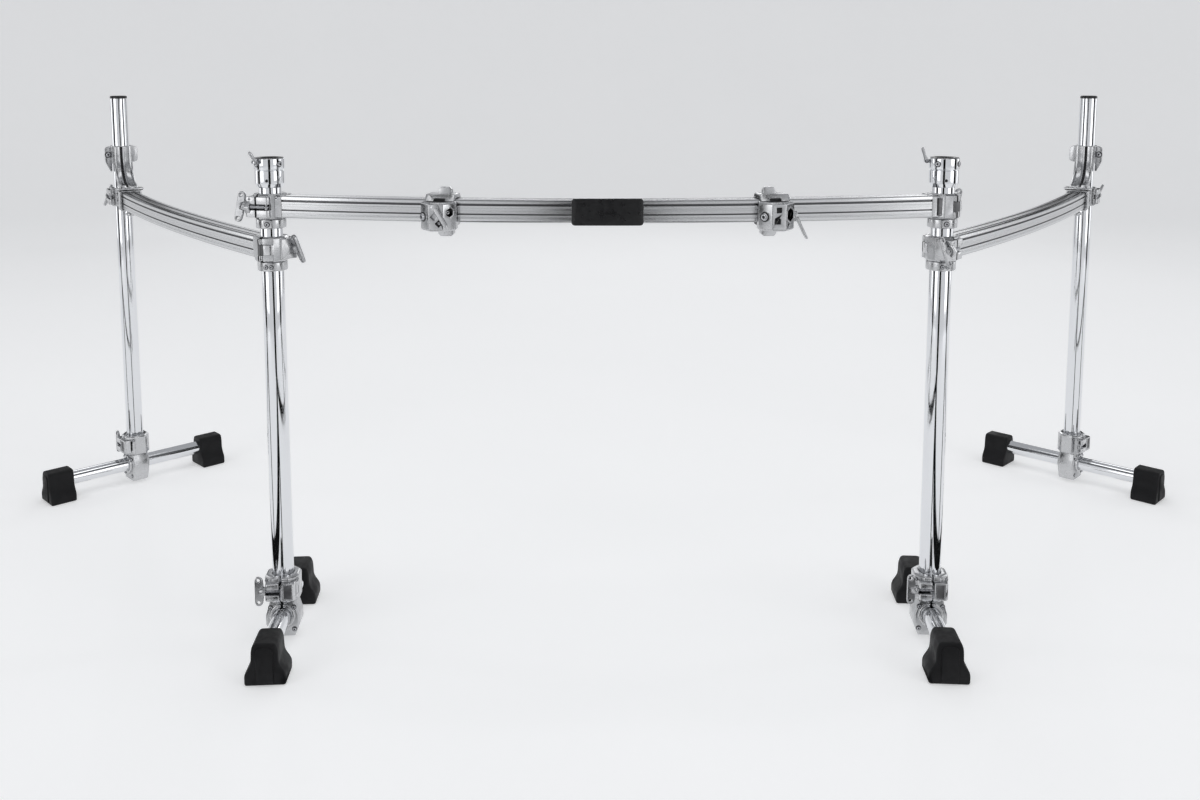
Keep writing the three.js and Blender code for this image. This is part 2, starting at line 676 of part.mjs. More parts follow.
// Curved arm: collar round the rear post, two ears, a grooved sweep down and a band round the rail.
// Origin on the post axis at the rail's height; the rail leaves along +X.
function armSolid() {
  const collarRadius = BORE_RADIUS + COLLAR_WALL;
  const top = COLLAR_RISE + COLLAR_HEIGHT / 2;
  const bandInner = RAIL_SIZE + 2 * BAND_CLEARANCE;
  const bandOuter = bandInner + 2 * BAND_WALL;
  const armFoot = bandOuter / 2 - BAND_WALL / 2 + ARM_THICKNESS / 2;
  const collarLow = COLLAR_RISE - COLLAR_HEIGHT / 2;
  let arm = tube(collarRadius, BORE_RADIUS, collarLow, top);
  for (const side of [-1, 1]) {
    const near = side * BORE_RADIUS;
    const far = side * (collarRadius + EAR_LENGTH);
    const low = Math.min(near, far);
    const high = Math.max(near, far);
    arm = arm.add(box([-EAR_THICKNESS / 2, low, collarLow], [EAR_THICKNESS / 2, high, top]));
  }
  arm = arm.add(armSweep(top, armFoot)).subtract(armBore(top));
  const shape = cutRectangle(bandOuter, bandOuter, BAND_CORNER);
  shape.holes.push(cutRectangle(bandInner, bandInner, RAIL_CORNER - BAND_CLEARANCE));
  const band = plate(shape, BAND_LENGTH).rotateY(Math.PI / 2).translate(ARM_REACH, 0, 0);
  return arm.add(solid(band)).add(bandKnob(bandOuter / 2));
}

// Screw with a round grip under the band, from the band's underside down
function bandKnob(drop) {
  const neckEnd = -drop - KNOB_NECK_HEIGHT;
  const gripEnd = neckEnd - KNOB_HEIGHT;
  const knob = revolve(
    [
      [0, gripEnd],
      [KNOB_RADIUS - KNOB_HEIGHT / 4, gripEnd],
      [KNOB_RADIUS, gripEnd + KNOB_HEIGHT / 4],
      [KNOB_RADIUS, neckEnd - KNOB_HEIGHT / 4],
      [KNOB_RADIUS - KNOB_HEIGHT / 4, neckEnd],
      [KNOB_NECK_RADIUS, neckEnd],
      [KNOB_NECK_RADIUS, -drop + BAND_WALL / 2],
      [0, -drop + BAND_WALL / 2],
    ],
    SMALL_SIDES,
  );
  return knob.translate([ARM_REACH, 0, 0]);
}

// Bore through the collar and the arm's root
function armBore(top) {
  return rod("z", BORE_RADIUS, 0, top + CUT_OVERRUN, [0, 0], POST_SIDES);
}

// Sweep of the arm's grooved section down the front of the post and forward on to the band
function armSweep(top, foot) {
  const start = POST_RADIUS + ARM_THICKNESS / 2;
  const radius = ARM_REACH - start;
  const path = new THREE.CurvePath();
  const bendTop = foot + radius;
  path.add(new THREE.LineCurve3(new THREE.Vector3(start, 0, top), new THREE.Vector3(start, 0, bendTop)));
  path.add(new QuarterBend(start, foot, radius));
  const w = ARM_WIDTH / 2;
  const t = ARM_THICKNESS / 2;
  const g = ARM_GROOVE_WIDTH / 2;
  const c = ARM_THICKNESS / 4;
  const section = [
    [t, g],
    [t - ARM_GROOVE_DEPTH, g / 2],
    [t - ARM_GROOVE_DEPTH, -g / 2],
    [t, -g],
    [t, c - w],
    [t - c, -w],
    [-t, -w],
    [-t, w],
    [t - c, w],
    [t, w - c],
  ];
  const rings = [];
  const line = [new THREE.Vector3(start, 0, top)];
  for (let i = 0; i <= ARM_STEPS; i += 1) line.push(path.curves[1].getPoint(i / ARM_STEPS));
  line.forEach((point, i) => {
    const turn = i === 0 ? 0 : ((i - 1) / ARM_STEPS) * (Math.PI / 2);
    const out = new THREE.Vector3(Math.cos(turn), 0, Math.sin(turn));
    rings.push(section.map(([x, y]) => [point.x + out.x * x, y, point.z + out.z * x]));
  });
  return loft(rings);
}

// Quarter circle from straight down to straight forward
class QuarterBend extends THREE.Curve {
  constructor(start, foot, radius) {
    super();
    Object.assign(this, { start, foot, radius });
  }
  getPoint(t, target = new THREE.Vector3()) {
    const a = (t * Math.PI) / 2;
    const x = this.start + this.radius * (1 - Math.cos(a));
    return target.set(x, 0, this.foot + this.radius * (1 - Math.sin(a)));
  }
}

// Closed solid through rings of the same number of points
function loft(rings) {
  const n = rings[0].length;
  const positions = rings.flat(2);
  const index = [];
  for (let r = 0; r + 1 < rings.length; r += 1) {
    for (let k = 0; k < n; k += 1) {
      const a = r * n + k;
      const b = r * n + ((k + 1) % n);
      index.push(a, b, a + n, b, b + n, a + n);
    }
  }
  const flat = rings[0].map((p) => new THREE.Vector2(p[1], p[0]));
  const last = (rings.length - 1) * n;
  const same = THREE.ShapeUtils.isClockWise(flat);
  for (const face of THREE.ShapeUtils.triangulateShape(flat, [])) {
    const alike = THREE.ShapeUtils.isClockWise(face.map((i) => flat[i])) === same;
    const [a, b, c] = alike ? face : face.toReversed();
    index.push(c, b, a);
    index.push(last + a, last + b, last + c);
  }
  const geometry = new THREE.BufferGeometry();
  geometry.setAttribute("position", new THREE.Float32BufferAttribute(positions, 3));
  geometry.setIndex(index);
  return facingOut(geometry);
}

// Solid with its faces turned out
function facingOut(geometry) {
  const made = solid(geometry);
  if (made.volume() > 0) return made;
  const flipped = geometry.index.array;
  for (let i = 0; i < flipped.length; i += 3) {
    const b = flipped[i + 1];
    flipped[i + 1] = flipped[i + 2];
    flipped[i + 2] = b;
  }
  return solid(geometry);
}

// T-clamp: split block round the post over a saddle round the foot's tube. The tube runs along Y.
function tClampSolid() {
  const tubeBore = FOOT_TUBE_DIAMETER / 2 + BORE_CLEARANCE;
  const blockMiddle = (T_CLAMP_TOP + T_BLOCK_BOTTOM) / 2;
  const corner = T_BLOCK_WIDTH * T_BLOCK_CORNER_SHARE;
  const blockShape = cutRectangle(T_BLOCK_WIDTH, T_BLOCK_DEPTH, corner);
  const block = solid(plate(blockShape, T_BLOCK_HEIGHT, CLAMP_CHAMFER).translate(0, 0, blockMiddle));
  const lugFront = T_BLOCK_DEPTH / 2 + T_LUG_DEPTH;
  const z = (T_BLOCK_HEIGHT * T_LUG_HEIGHT_SHARE) / 2;
  const lugWidth = T_BLOCK_WIDTH * T_LUG_WIDTH_SHARE;
  const lugShape = cutRectangle(lugWidth, 2 * lugFront - T_BLOCK_DEPTH, CLAMP_CHAMFER);
  const lugs = plate(lugShape, 2 * z).translate(0, -T_BLOCK_DEPTH / 2, blockMiddle);
  const s = T_SADDLE_WIDTH / 2;
  const f = s * T_SADDLE_FOOT_SHARE;
  const low = T_CLAMP_FLOOR_GAP;
  const saddleShape = outline([
    [-f, low],
    [f, low],
    [s, FOOT_TUBE_HEIGHT - tubeBore],
    [s, FOOT_TUBE_HEIGHT],
    [f, T_BLOCK_BOTTOM + CLAMP_CHAMFER],
    [-f, T_BLOCK_BOTTOM + CLAMP_CHAMFER],
    [-s, FOOT_TUBE_HEIGHT],
    [-s, FOOT_TUBE_HEIGHT - tubeBore],
  ]);
  const saddle = plate(saddleShape, T_CLAMP_DEPTH, CLAMP_CHAMFER).rotateX(Math.PI / 2);
  const collarEnd = T_CLAMP_DEPTH / 2 + T_COLLAR_LENGTH;
  const place = [0, FOOT_TUBE_HEIGHT];
  const collar = rod("y", tubeBore + T_COLLAR_WALL, -collarEnd, collarEnd, place, FOOT_TUBE_SIDES);
  let clamp = block.add(solid(lugs)).add(solid(saddle)).add(collar);
  const far = lugFront + CUT_OVERRUN;
  clamp = clamp.subtract(rod("y", tubeBore, -far, far, place, FOOT_TUBE_SIDES));
  const top = T_CLAMP_TOP + CUT_OVERRUN;
  clamp = clamp.subtract(rod("z", BORE_RADIUS, T_BLOCK_BOTTOM, top, [0, 0], POST_SIDES));
  const slit = T_SPLIT_WIDTH / 2;
  const slitLow = FOOT_TUBE_HEIGHT + tubeBore / 2;
  clamp = clamp.subtract(box([-slit, -far, slitLow], [slit, 0, T_CLAMP_TOP + CUT_OVERRUN]));
  const boltRadius = BOLT_DIAMETER / 2 + BOLT_SLOT_CLEARANCE;
  const [boltY, boltZ] = tBoltPlace();
  clamp = clamp.subtract(rod("x", boltRadius, 0, T_BLOCK_WIDTH / 4, [boltY, boltZ]));
  const boltRoom = [boltY + boltRadius, boltZ + boltRadius];
  clamp = clamp.subtract(box([-T_BLOCK_WIDTH, -far, boltZ - boltRadius], [0, ...boltRoom]));
  return clamp.subtract(tPanel(lugFront, boltZ)).subtract(tOval(boltZ));
}

// Flat pocket in the front of the block's fixed half
function tPanel(front, middle) {
  const z = (T_BLOCK_HEIGHT * T_PANEL_HEIGHT_SHARE) / 2;
  const near = T_SPLIT_WIDTH / 2 + CLAMP_CHAMFER;
  const low = [near, -front - CUT_OVERRUN, middle - z];
  return box(low, [near + T_PANEL_WIDTH, T_PANEL_DEPTH - front, middle + z]);
}

// Upright pocket with cut ends, in the facet between the block's front and its fixed side
function tOval(middle) {
  const corner = T_BLOCK_WIDTH * T_BLOCK_CORNER_SHARE;
  const shape = cutRectangle(T_OVAL_WIDTH, T_OVAL_HEIGHT, T_OVAL_WIDTH / 4);
  const cutter = plate(shape, 2 * T_OVAL_DEPTH).rotateX(Math.PI / 2).rotateZ(Math.PI / 4);
  const x = (T_BLOCK_WIDTH - corner) / 2;
  const y = (corner - T_BLOCK_DEPTH) / 2;
  return solid(cutter.translate(x, y, middle));
}

// Where the T-clamp's bolt crosses the slit
function tBoltPlace() {
  const y = -BORE_RADIUS - BOLT_DIAMETER / 2 - BOLT_SLOT_CLEARANCE - T_BOLT_DEPTH;
  return [y, (T_CLAMP_TOP + T_BLOCK_BOTTOM) / 2];
}

// Tube of a T-foot, along Y
function footTubeSolid(length) {
  const outer = FOOT_TUBE_DIAMETER / 2;
  const half = length / 2 - RUBBER_WALL - SEAT_GAP;
  const body = tube(outer, outer - FOOT_TUBE_WALL, -half, half, FOOT_TUBE_SIDES);
  return body.rotate([90, 0, 0]).translate([0, 0, FOOT_TUBE_HEIGHT]);
}

// Outline of the rubber foot seen along its tube
function rubberOutline() {
  const b = RUBBER_BASE_WIDTH / 2;
  const w = b * RUBBER_WAIST_SHARE;
  const t = b * RUBBER_TOP_SHARE;
  const toe = RUBBER_HEIGHT * RUBBER_TOE_HEIGHT_SHARE;
  const waist = RUBBER_HEIGHT * RUBBER_WAIST_HEIGHT_SHARE;
  const shoulder = RUBBER_HEIGHT - 2 * (w - t);
  const right = [
    [b, 0],
    [b, toe],
    [w, waist],
    [w, shoulder],
    [t, RUBBER_HEIGHT],
  ];
  return outline([...right, ...right.map(([x, y]) => [-x, y]).reverse()]);
}

// Rubber foot with a flared base, open towards +Y for the tube; its outer face is at Y = 0
function rubberSolid() {
  const length = RUBBER_LENGTH - RUBBER_PANEL_PROUD;
  const body = plate(rubberOutline(), length, RUBBER_BEVEL).rotateX(Math.PI / 2);
  body.translate(0, RUBBER_PANEL_PROUD + length / 2, 0);
  const p = (RUBBER_BASE_WIDTH * RUBBER_WAIST_SHARE * RUBBER_PANEL_SHARE) / 2;
  const top = RUBBER_HEIGHT - RUBBER_BEVEL - RUBBER_PANEL_PROUD;
  const c = RUBBER_PANEL_CORNER;
  const panelShape = outline([
    [p, RUBBER_BEVEL],
    [p, top - c],
    [p - c / 3, top - c / 3],
    [p - c, top],
    [c - p, top],
    [c / 3 - p, top - c / 3],
    [-p, top - c],
    [-p, RUBBER_BEVEL],
  ]);
  const panel = plate(panelShape, 2 * RUBBER_BEVEL).rotateX(Math.PI / 2).translate(0, RUBBER_BEVEL, 0);
  const bore = FOOT_TUBE_DIAMETER / 2 + SEAT_GAP;
  const far = RUBBER_LENGTH + CUT_OVERRUN;
  const foot = solid(body).add(solid(panel));
  return foot.subtract(rod("y", bore, RUBBER_WALL, far, [0, FOOT_TUBE_HEIGHT], FOOT_TUBE_SIDES));
}

// Bare badge plate, bent to lie on the front rail's outer face
function badgeSolid(bow) {
  const shape = cutRectangle(BADGE_THICKNESS, BADGE_HEIGHT, 0);
  const straight = new THREE.ExtrudeGeometry(shape, {
    depth: BADGE_WIDTH,
    steps: BADGE_STEPS,
    bevelEnabled: false,
  });
  straight.translate(RAIL_SIZE / 2 + SEAT_GAP + BADGE_THICKNESS / 2, 0, 0);
  const bar = solid(bend(straight, BADGE_WIDTH, FRONT_RAIL_RADIUS, bow));
  const face = roundedRectangle(BADGE_WIDTH, BADGE_HEIGHT, BADGE_CORNER);
  const cutter = plate(face, RAIL_SIZE * 2).rotateX(Math.PI / 2).translate(0, -bow - RAIL_SIZE / 2, 0);
  return bar.intersect(solid(cutter));
}

// Rectangle outline with round corners
function roundedRectangle(width, height, radius) {
  const x = width / 2;
  const y = height / 2;
  const shape = new THREE.Shape();
  shape.moveTo(radius - x, -y);
  shape.lineTo(x - radius, -y);
  shape.absarc(x - radius, radius - y, radius, -Math.PI / 2, 0, false);
  shape.lineTo(x, y - radius);
  shape.absarc(x - radius, y - radius, radius, 0, Math.PI / 2, false);
  shape.lineTo(radius - x, y);
  shape.absarc(radius - x, y - radius, radius, Math.PI / 2, Math.PI, false);
  shape.lineTo(-x, radius - y);
  shape.absarc(radius - x, radius - y, radius, Math.PI, Math.PI * 1.5, false);
  return shape;
}

// Accessory clamp: a shell round the rail with a window and two tabs, and a faceted housing in front.
// Built at the middle of the front rail's arc, then turned about the rail's centre of curvature.
function accessorySolid(bow, side, shares) {
  const inner = RAIL_SIZE + 2 * ACCESSORY_CLEARANCE;
  const outer = inner + 2 * ACCESSORY_WALL;
  const front = -bow - outer / 2;
  const shell = plate(cutRectangle(outer, outer, ACCESSORY_CORNER), ACCESSORY_WIDTH, CLAMP_CHAMFER / 2);
  shell.rotateY(Math.PI / 2).translate(0, -bow, 0);
  const x = HOUSING_WIDTH / 2;
  const corner = HOUSING_WIDTH * HOUSING_CORNER_SHARE;
  const right = [
    [x, 0],
    [x, corner - HOUSING_DEPTH],
    [x - corner, -HOUSING_DEPTH],
  ];
  const housingShape = outline([...right, ...right.map(([a, b]) => [-a, b]).reverse()]);
  const housing = plate(housingShape, HOUSING_HEIGHT, CLAMP_CHAMFER);
  housing.translate(0, -bow - inner / 2 - SEAT_GAP, -HOUSING_DROP);
  const shift = -side * TAB_SHIFT;
  const tab = accessoryTab(TAB_WIDTH, TAB_LENGTH, TAB_THICKNESS, front, outer / 2);
  const latch = accessoryTab(LATCH_WIDTH, LATCH_LENGTH, LATCH_THICKNESS, front, outer / 2);
  let body = solid(shell).add(solid(housing));
  body = body.add(tab.translate([shift, 0, 0])).add(latch.mirror([0, 0, 1]).translate([shift, 0, 0]));
  body = body.subtract(shellWindow(front, outer / 2)).subtract(railRoom(bow, inner));
  return housingDetails(body, -bow - inner / 2 - SEAT_GAP - HOUSING_DEPTH, corner, shares);
}

// Rounded tab that stands on top of the shell near its front
function accessoryTab(width, length, thickness, front, top) {
  const reach = 2 * (length + CLAMP_CHAMFER);
  const foot = top - CLAMP_CHAMFER;
  const tab = plate(cutRectangle(width, reach, TAB_CORNER), thickness).rotateX(Math.PI / 2);
  tab.translate(0, front + ACCESSORY_CORNER + thickness / 2, foot);
  return solid(tab).intersect(box([-width, front, foot], [width, front + reach, foot + reach]));
}

// Window cut into the shell's upper front edge
function shellWindow(front, top) {
  const x = WINDOW_WIDTH / 2;
  const sill = top - ACCESSORY_CORNER - WINDOW_HEIGHT / 2;
  const back = front + ACCESSORY_CORNER / 2;
  return box([-x, front - CUT_OVERRUN, sill], [x, back, top + CUT_OVERRUN]);
}

// Bolt seat on one facet, framed six-sided socket in the other, and pockets in the front
function housingDetails(body, face, corner, shares) {
  const facet = HOUSING_WIDTH / 2 - corner / 2;
  const round = (side, radius, from, to, sides, rise) => {
    const cutter = new THREE.CylinderGeometry(radius, radius, to - from, sides);
    cutter.translate(0, -(from + to) / 2, 0).rotateZ((side * Math.PI) / 4);
    return solid(cutter.translate(side * facet, face + corner / 2, rise - HOUSING_DROP));
  };
  const rise = shares.rise * HOUSING_HEIGHT;
  const radius = shares.socket * HOUSING_HEIGHT;
  let housing = body.add(round(-1, BOSS_RADIUS, -corner / 2, BOSS_PROUD, SMALL_SIDES, 0));
  housing = housing.add(round(1, radius + SOCKET_FRAME, -corner / 2, SOCKET_FRAME / 3, PIN_SIDES, rise));
  housing = housing.subtract(round(1, radius, -SOCKET_DEPTH, corner, PIN_SIDES, rise));
  shares.pockets.forEach(([across, up]) => {
    const shape = rectangle(POCKET_SIZE, POCKET_SIZE);
    const pocket = plate(shape, 2 * POCKET_DEPTH).rotateZ(shares.turned ? Math.PI / 4 : 0);
    pocket.rotateX(Math.PI / 2);
    const place = [across * HOUSING_WIDTH, face, up * HOUSING_HEIGHT - HOUSING_DROP];
    housing = housing.subtract(solid(pocket.translate(...place)));
  });
  return housing;
}

// Room for the rail inside an accessory clamp, curved like the rail
function railRoom(bow, size) {
  const length = HOUSING_WIDTH * 2;
  const shape = cutRectangle(size, size, RAIL_CORNER - ACCESSORY_CLEARANCE);
  const straight = new THREE.ExtrudeGeometry(shape, { depth: length, steps: 4, bevelEnabled: false });
  return solid(bend(straight, length, FRONT_RAIL_RADIUS, bow));
}

// Lever of the accessory clamp: a hub with a slender bar that leans out, turning about Y
function accessoryLeverSolid(lean) {
  const w = ACCESSORY_LEVER_WIDTH / 2;
  const t = ACCESSORY_LEVER_THICKNESS;
  const taper = ACCESSORY_LEVER_TAPER_SHARE;
  const bar = outline([
    [-w, 0],
    [w, 0],
    [w * taper, ACCESSORY_LEVER_LENGTH * taper],
    [0, ACCESSORY_LEVER_LENGTH],
    [-w * taper, ACCESSORY_LEVER_LENGTH * taper],
  ]);
  const hub = rod("y", ACCESSORY_HUB_RADIUS, -t, 0);
  const leaning = new THREE.Matrix4().makeShear(0, 0, 0, 0, 0, -lean);
  const geometry = plate(bar, t, t / 5).rotateX(Math.PI / 2).translate(0, -t / 2, 0).applyMatrix4(leaning);
  return hub.add(solid(geometry));
}

// Post with its hollow bore
function postSolid(top) {
  return tube(POST_RADIUS, POST_RADIUS - POST_WALL, POST_BOTTOM, top);
}

// Rail with a clamp at each end. Local X runs along the chord and the rail bows towards -Y.
function railAssembly(name, chord, radius, ends) {
  const group = new THREE.Group();
  group.add(piece(name + "_rail", railSolid(chord, radius), satinAluminium));
  const slope = halfTurnOf(chord, radius) - CLAMP_REACH / radius;
  ends.forEach(({ name: end, split, flipped }, i) => {
    const clamp = clampAssembly(end, split);
    const holder = new THREE.Group();
    if (flipped) clamp.rotation.x = Math.PI;
    holder.add(clamp);
    holder.position.x = i === 0 ? -chord / 2 : chord / 2;
    holder.rotation.z = i === 0 ? -slope : Math.PI + slope;
    group.add(holder);
  });
  return group;
}

// Clamp body, jaw and wing bolt as they sit together
function clampAssembly(name, split) {
  const group = new THREE.Group();
  group.add(piece(name + "_clamp", clampBodySolid(split), castMetal));
  if (split) group.add(piece(name + "_clamp_jaw", clampJawSolid(), castMetal));
  const length = JAW_FACE + CLAMP_RADIUS / 4 - BOLT_DIAMETER / 3 - SEAT_GAP;
  const bolt = piece(name + "_wing_bolt", wingBoltSolid(length), castMetal);
  const turn = new THREE.Group();
  turn.add(bolt);
  turn.rotation.y = -Math.PI / 2;
  turn.position.set(-JAW_FACE - SEAT_GAP, -BOLT_OFFSET, 0);
  bolt.rotation.z = WING_REST_TURN;
  group.add(turn);
  return group;
}

// T-foot under a post: clamp, tube, rubber feet and wing bolt
function footAssembly(name, length, heading) {
  const group = new THREE.Group();
  group.add(piece(name + "_t_clamp", tClampSolid(), castMetal));
  group.add(piece(name + "_foot_tube", footTubeSolid(length), chrome));
  ["near", "far"].forEach((end, i) => {
    const holder = new THREE.Group();
    const foot = piece(name + "_" + end + "_rubber", rubberSolid(), blackRubber);
    foot.position.y = -length / 2;
    holder.rotation.z = i * Math.PI;
    holder.add(foot);
    group.add(holder);
  });
  const [y, z] = tBoltPlace();
  const seat = (T_BLOCK_WIDTH * T_LUG_WIDTH_SHARE) / 2 + SEAT_GAP;
  const stem = seat + T_BLOCK_WIDTH / 5;
  const bolt = piece(name + "_t_wing_bolt", wingBoltSolid(stem), castMetal);
  const turn = new THREE.Group();
  turn.add(bolt);
  turn.rotation.y = -Math.PI / 2;
  turn.position.set(-seat, y, z);
  group.add(turn);
  group.rotation.z = heading;
  return group;
}

// Front post with its locks, cup and lever
function frontPost(name, index) {
  const group = new THREE.Group();
  group.add(piece(name + "_post", postSolid(CUP_BOTTOM + CUP_SEAT_DEPTH), chrome));
  const drop = CLAMP_HEIGHT / 2 + LOCK_HEIGHT / 2 + SEAT_GAP;
  ["rail", "wing"].forEach((which, i) => {
    const lock = piece(name + "_" + which + "_lock", lockSolid(), castMetal);
    lock.position.z = (i === 0 ? FRONT_RAIL_HEIGHT : WING_RAIL_HEIGHT) - drop;
    group.add(lock);
  });
  const cup = new THREE.Group();
  cup.add(piece(name + "_cup", cupSolid(), chrome));
  const lever = piece(name + "_cup_lever", cupLeverSolid(), castMetal);
  const [x, z] = cupLeverPlace();
  lever.position.set(x, 0, z);
  lever.rotation.y = CUP_LEVER_SWINGS[index];
  cup.add(lever);
  cup.position.z = CUP_BOTTOM;
  cup.rotation.z = CUP_TURNS[index];
  group.add(cup);
  return group;
}

// Wing: rail, clamps and curved arm, with the rear post and its cap
function wing(side, name) {
  const front = new THREE.Vector2((side * FRONT_POST_SPACING) / 2, 0);
  const rear = new THREE.Vector2((side * REAR_POST_SPACING) / 2, WING_DEPTH);
  const chord = front.distanceTo(rear);
  const left = side < 0 ? rear : front;
  const right = side < 0 ? front : rear;
  const group = new THREE.Group();
  const frontEnd = { name: name + "_wing_front", split: true, flipped: false };
  const rearEnd = { name: name + "_wing_rear", split: false, flipped: side > 0 };
  const ends = side < 0 ? [rearEnd, frontEnd] : [frontEnd, rearEnd];
  const rail = railAssembly(name + "_wing", chord, WING_RAIL_RADIUS, ends);
  rail.position.set((left.x + right.x) / 2, (left.y + right.y) / 2, WING_RAIL_HEIGHT);
  rail.rotation.z = Math.atan2(right.y - left.y, right.x - left.x);
  const arm = piece(name + "_arm", armSolid(), castMetal);
  const slope = halfTurnOf(chord, WING_RAIL_RADIUS) - ARM_REACH / 2 / WING_RAIL_RADIUS;
  arm.position.x = side < 0 ? -chord / 2 : chord / 2;
  arm.rotation.z = side < 0 ? -slope : Math.PI + slope;
  rail.add(arm);
  group.add(rail);
  const post = piece("rear_" + name + "_post", postSolid(REAR_POST_TOP), chrome);
  post.position.set(rear.x, rear.y, 0);
  group.add(post);
  const cap = piece("rear_" + name + "_cap", capSolid(), blackPlastic);
  cap.position.set(rear.x, rear.y, REAR_POST_TOP);
  group.add(cap);
  return group;
}

// Accessory clamps at their rest places on the front rail. The left lever sits on the housing's front,
// the right one on its outer side.
function accessoryClamp(side, name, index) {
  const bow = bowOf(FRONT_POST_SPACING, FRONT_RAIL_RADIUS);
  const shares = ACCESSORY_FRONT_SHARES[index];
  const group = new THREE.Group();
  const inner = new THREE.Group();
  inner.add(piece(name + "_accessory_clamp", accessorySolid(bow, side, shares), castMetal));
  const leverBody = accessoryLeverSolid(ACCESSORY_LEAN_SHARES[index]);
  const lever = piece(name + "_accessory_lever", leverBody, castMetal);
  const back = RAIL_SIZE / 2 + ACCESSORY_CLEARANCE + SEAT_GAP;
  const [across, up] = shares.lever;
  const x = side < 0 ? across * HOUSING_WIDTH : HOUSING_WIDTH / 2 + SEAT_GAP;
  const reach = side < 0 ? HOUSING_DEPTH + SEAT_GAP : ACCESSORY_HUB_RADIUS + ACCESSORY_CLEARANCE;
  const seat = new THREE.Group();
  seat.position.set(x, -bow - back - reach, up * HOUSING_HEIGHT - HOUSING_DROP);
  seat.rotation.z = side < 0 ? 0 : Math.PI / 2;
  lever.rotation.y = ACCESSORY_LEVER_TURNS[index];
  seat.add(lever);
  inner.add(seat);
  inner.position.y = -(FRONT_RAIL_RADIUS - bow);
  const turn = Math.asin((side * ACCESSORY_SPACING) / 2 / FRONT_RAIL_RADIUS);
  group.rotation.z = turn;
  group.position.set(0, FRONT_RAIL_RADIUS - bow, FRONT_RAIL_HEIGHT);
  group.add(inner);
  return group;
}

const rack = new THREE.Group();

const frontRail = railAssembly("front", FRONT_POST_SPACING, FRONT_RAIL_RADIUS, [
  { name: "front_left_rail", split: true, flipped: false },
  { name: "front_right_rail", split: true, flipped: false },
]);
frontRail.position.z = FRONT_RAIL_HEIGHT;
const frontBow = bowOf(FRONT_POST_SPACING, FRONT_RAIL_RADIUS);
frontRail.add(piece("badge_plate", badgeSolid(frontBow), blackPlastic));
rack.add(frontRail);

[[-1, "left"], [1, "right"]].forEach(([side, name], i) => {
  const x = (side * FRONT_POST_SPACING) / 2;
  const post = frontPost("front_" + name, i);
  post.position.x = x;
  rack.add(post);
  rack.add(wing(side, name));
  rack.add(accessoryClamp(side, name, i));
  const frontFoot = footAssembly("front_" + name, FRONT_FOOT_LENGTH, side * FRONT_FOOT_HEADING);
  frontFoot.position.x = x;
  rack.add(frontFoot);
  const rearFoot = footAssembly("rear_" + name, REAR_FOOT_LENGTH, side * REAR_FOOT_HEADING);
  rearFoot.position.set((side * REAR_POST_SPACING) / 2, WING_DEPTH, 0);
  rack.add(rearFoot);
});

// The rack's origin lies on the floor, in the middle of its bounding box
const middle = new THREE.Box3().setFromObject(rack).getCenter(new THREE.Vector3());
rack.position.set(-middle.x, -middle.y, 0);

const group = new THREE.Group();
group.add(rack);
export default group;
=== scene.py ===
import math

import bmesh
import bpy
from mathutils import Matrix, Vector


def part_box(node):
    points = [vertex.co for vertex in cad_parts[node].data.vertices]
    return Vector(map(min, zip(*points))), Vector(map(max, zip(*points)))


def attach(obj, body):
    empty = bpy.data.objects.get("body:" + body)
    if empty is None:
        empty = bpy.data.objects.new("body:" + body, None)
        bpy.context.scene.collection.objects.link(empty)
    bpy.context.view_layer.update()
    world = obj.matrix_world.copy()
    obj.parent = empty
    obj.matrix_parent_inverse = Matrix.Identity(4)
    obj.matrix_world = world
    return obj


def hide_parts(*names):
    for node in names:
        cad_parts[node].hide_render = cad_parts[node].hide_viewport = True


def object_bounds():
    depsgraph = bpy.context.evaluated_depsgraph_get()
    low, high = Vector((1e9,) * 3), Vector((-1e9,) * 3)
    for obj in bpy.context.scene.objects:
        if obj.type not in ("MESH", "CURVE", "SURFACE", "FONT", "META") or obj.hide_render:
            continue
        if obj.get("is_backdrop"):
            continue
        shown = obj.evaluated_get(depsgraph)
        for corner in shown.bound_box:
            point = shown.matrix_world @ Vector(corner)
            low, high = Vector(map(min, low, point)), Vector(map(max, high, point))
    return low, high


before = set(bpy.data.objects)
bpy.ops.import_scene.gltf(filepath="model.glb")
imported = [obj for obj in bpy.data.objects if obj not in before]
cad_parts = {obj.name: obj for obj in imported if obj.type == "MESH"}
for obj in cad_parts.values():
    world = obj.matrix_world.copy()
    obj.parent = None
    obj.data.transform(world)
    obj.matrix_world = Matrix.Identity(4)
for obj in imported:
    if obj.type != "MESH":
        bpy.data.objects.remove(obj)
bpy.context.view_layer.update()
scene = bpy.context.scene
scene.view_settings.view_transform = "Standard"

# The camera stands two metres in front of the front posts, a little above the rack, and looks slightly down.
# Most of the view below the horizon comes from the lens shift, so that the posts stay nearly upright.
front_low, front_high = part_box("front_left_post")
front_line = (front_low.y + front_high.y) / 2
camera_data = bpy.data.cameras.new("camera")
camera_data.sensor_width = 36
camera_data.lens = 34.62
camera_data.shift_y = -0.165
camera = bpy.data.objects.new("camera", camera_data)
camera.location = (-0.018, front_line - 1.977, 1.026)
camera.rotation_euler = (math.radians(90 - 6.88), 0, math.radians(-0.17))
scene.collection.objects.link(camera)
scene.camera = camera


# Studio: a pale paper sweep that runs flat under the rack and up all round it, open to a soft sky.
# Softboxes and strip lamps stand at the sides, one hangs behind and one above; none shows to the camera.
SWEEP_FLAT = 6.4
SWEEP_BEND = 2.6
SWEEP_TOP = 4.6
SWEEP_STEPS = 12
PAPER_LIFT = 0.36


def clean_slate():
    """Object mode with nothing selected."""
    if bpy.context.mode != "OBJECT":
        bpy.ops.object.mode_set(mode="OBJECT")
    bpy.ops.object.select_all(action="DESELECT")


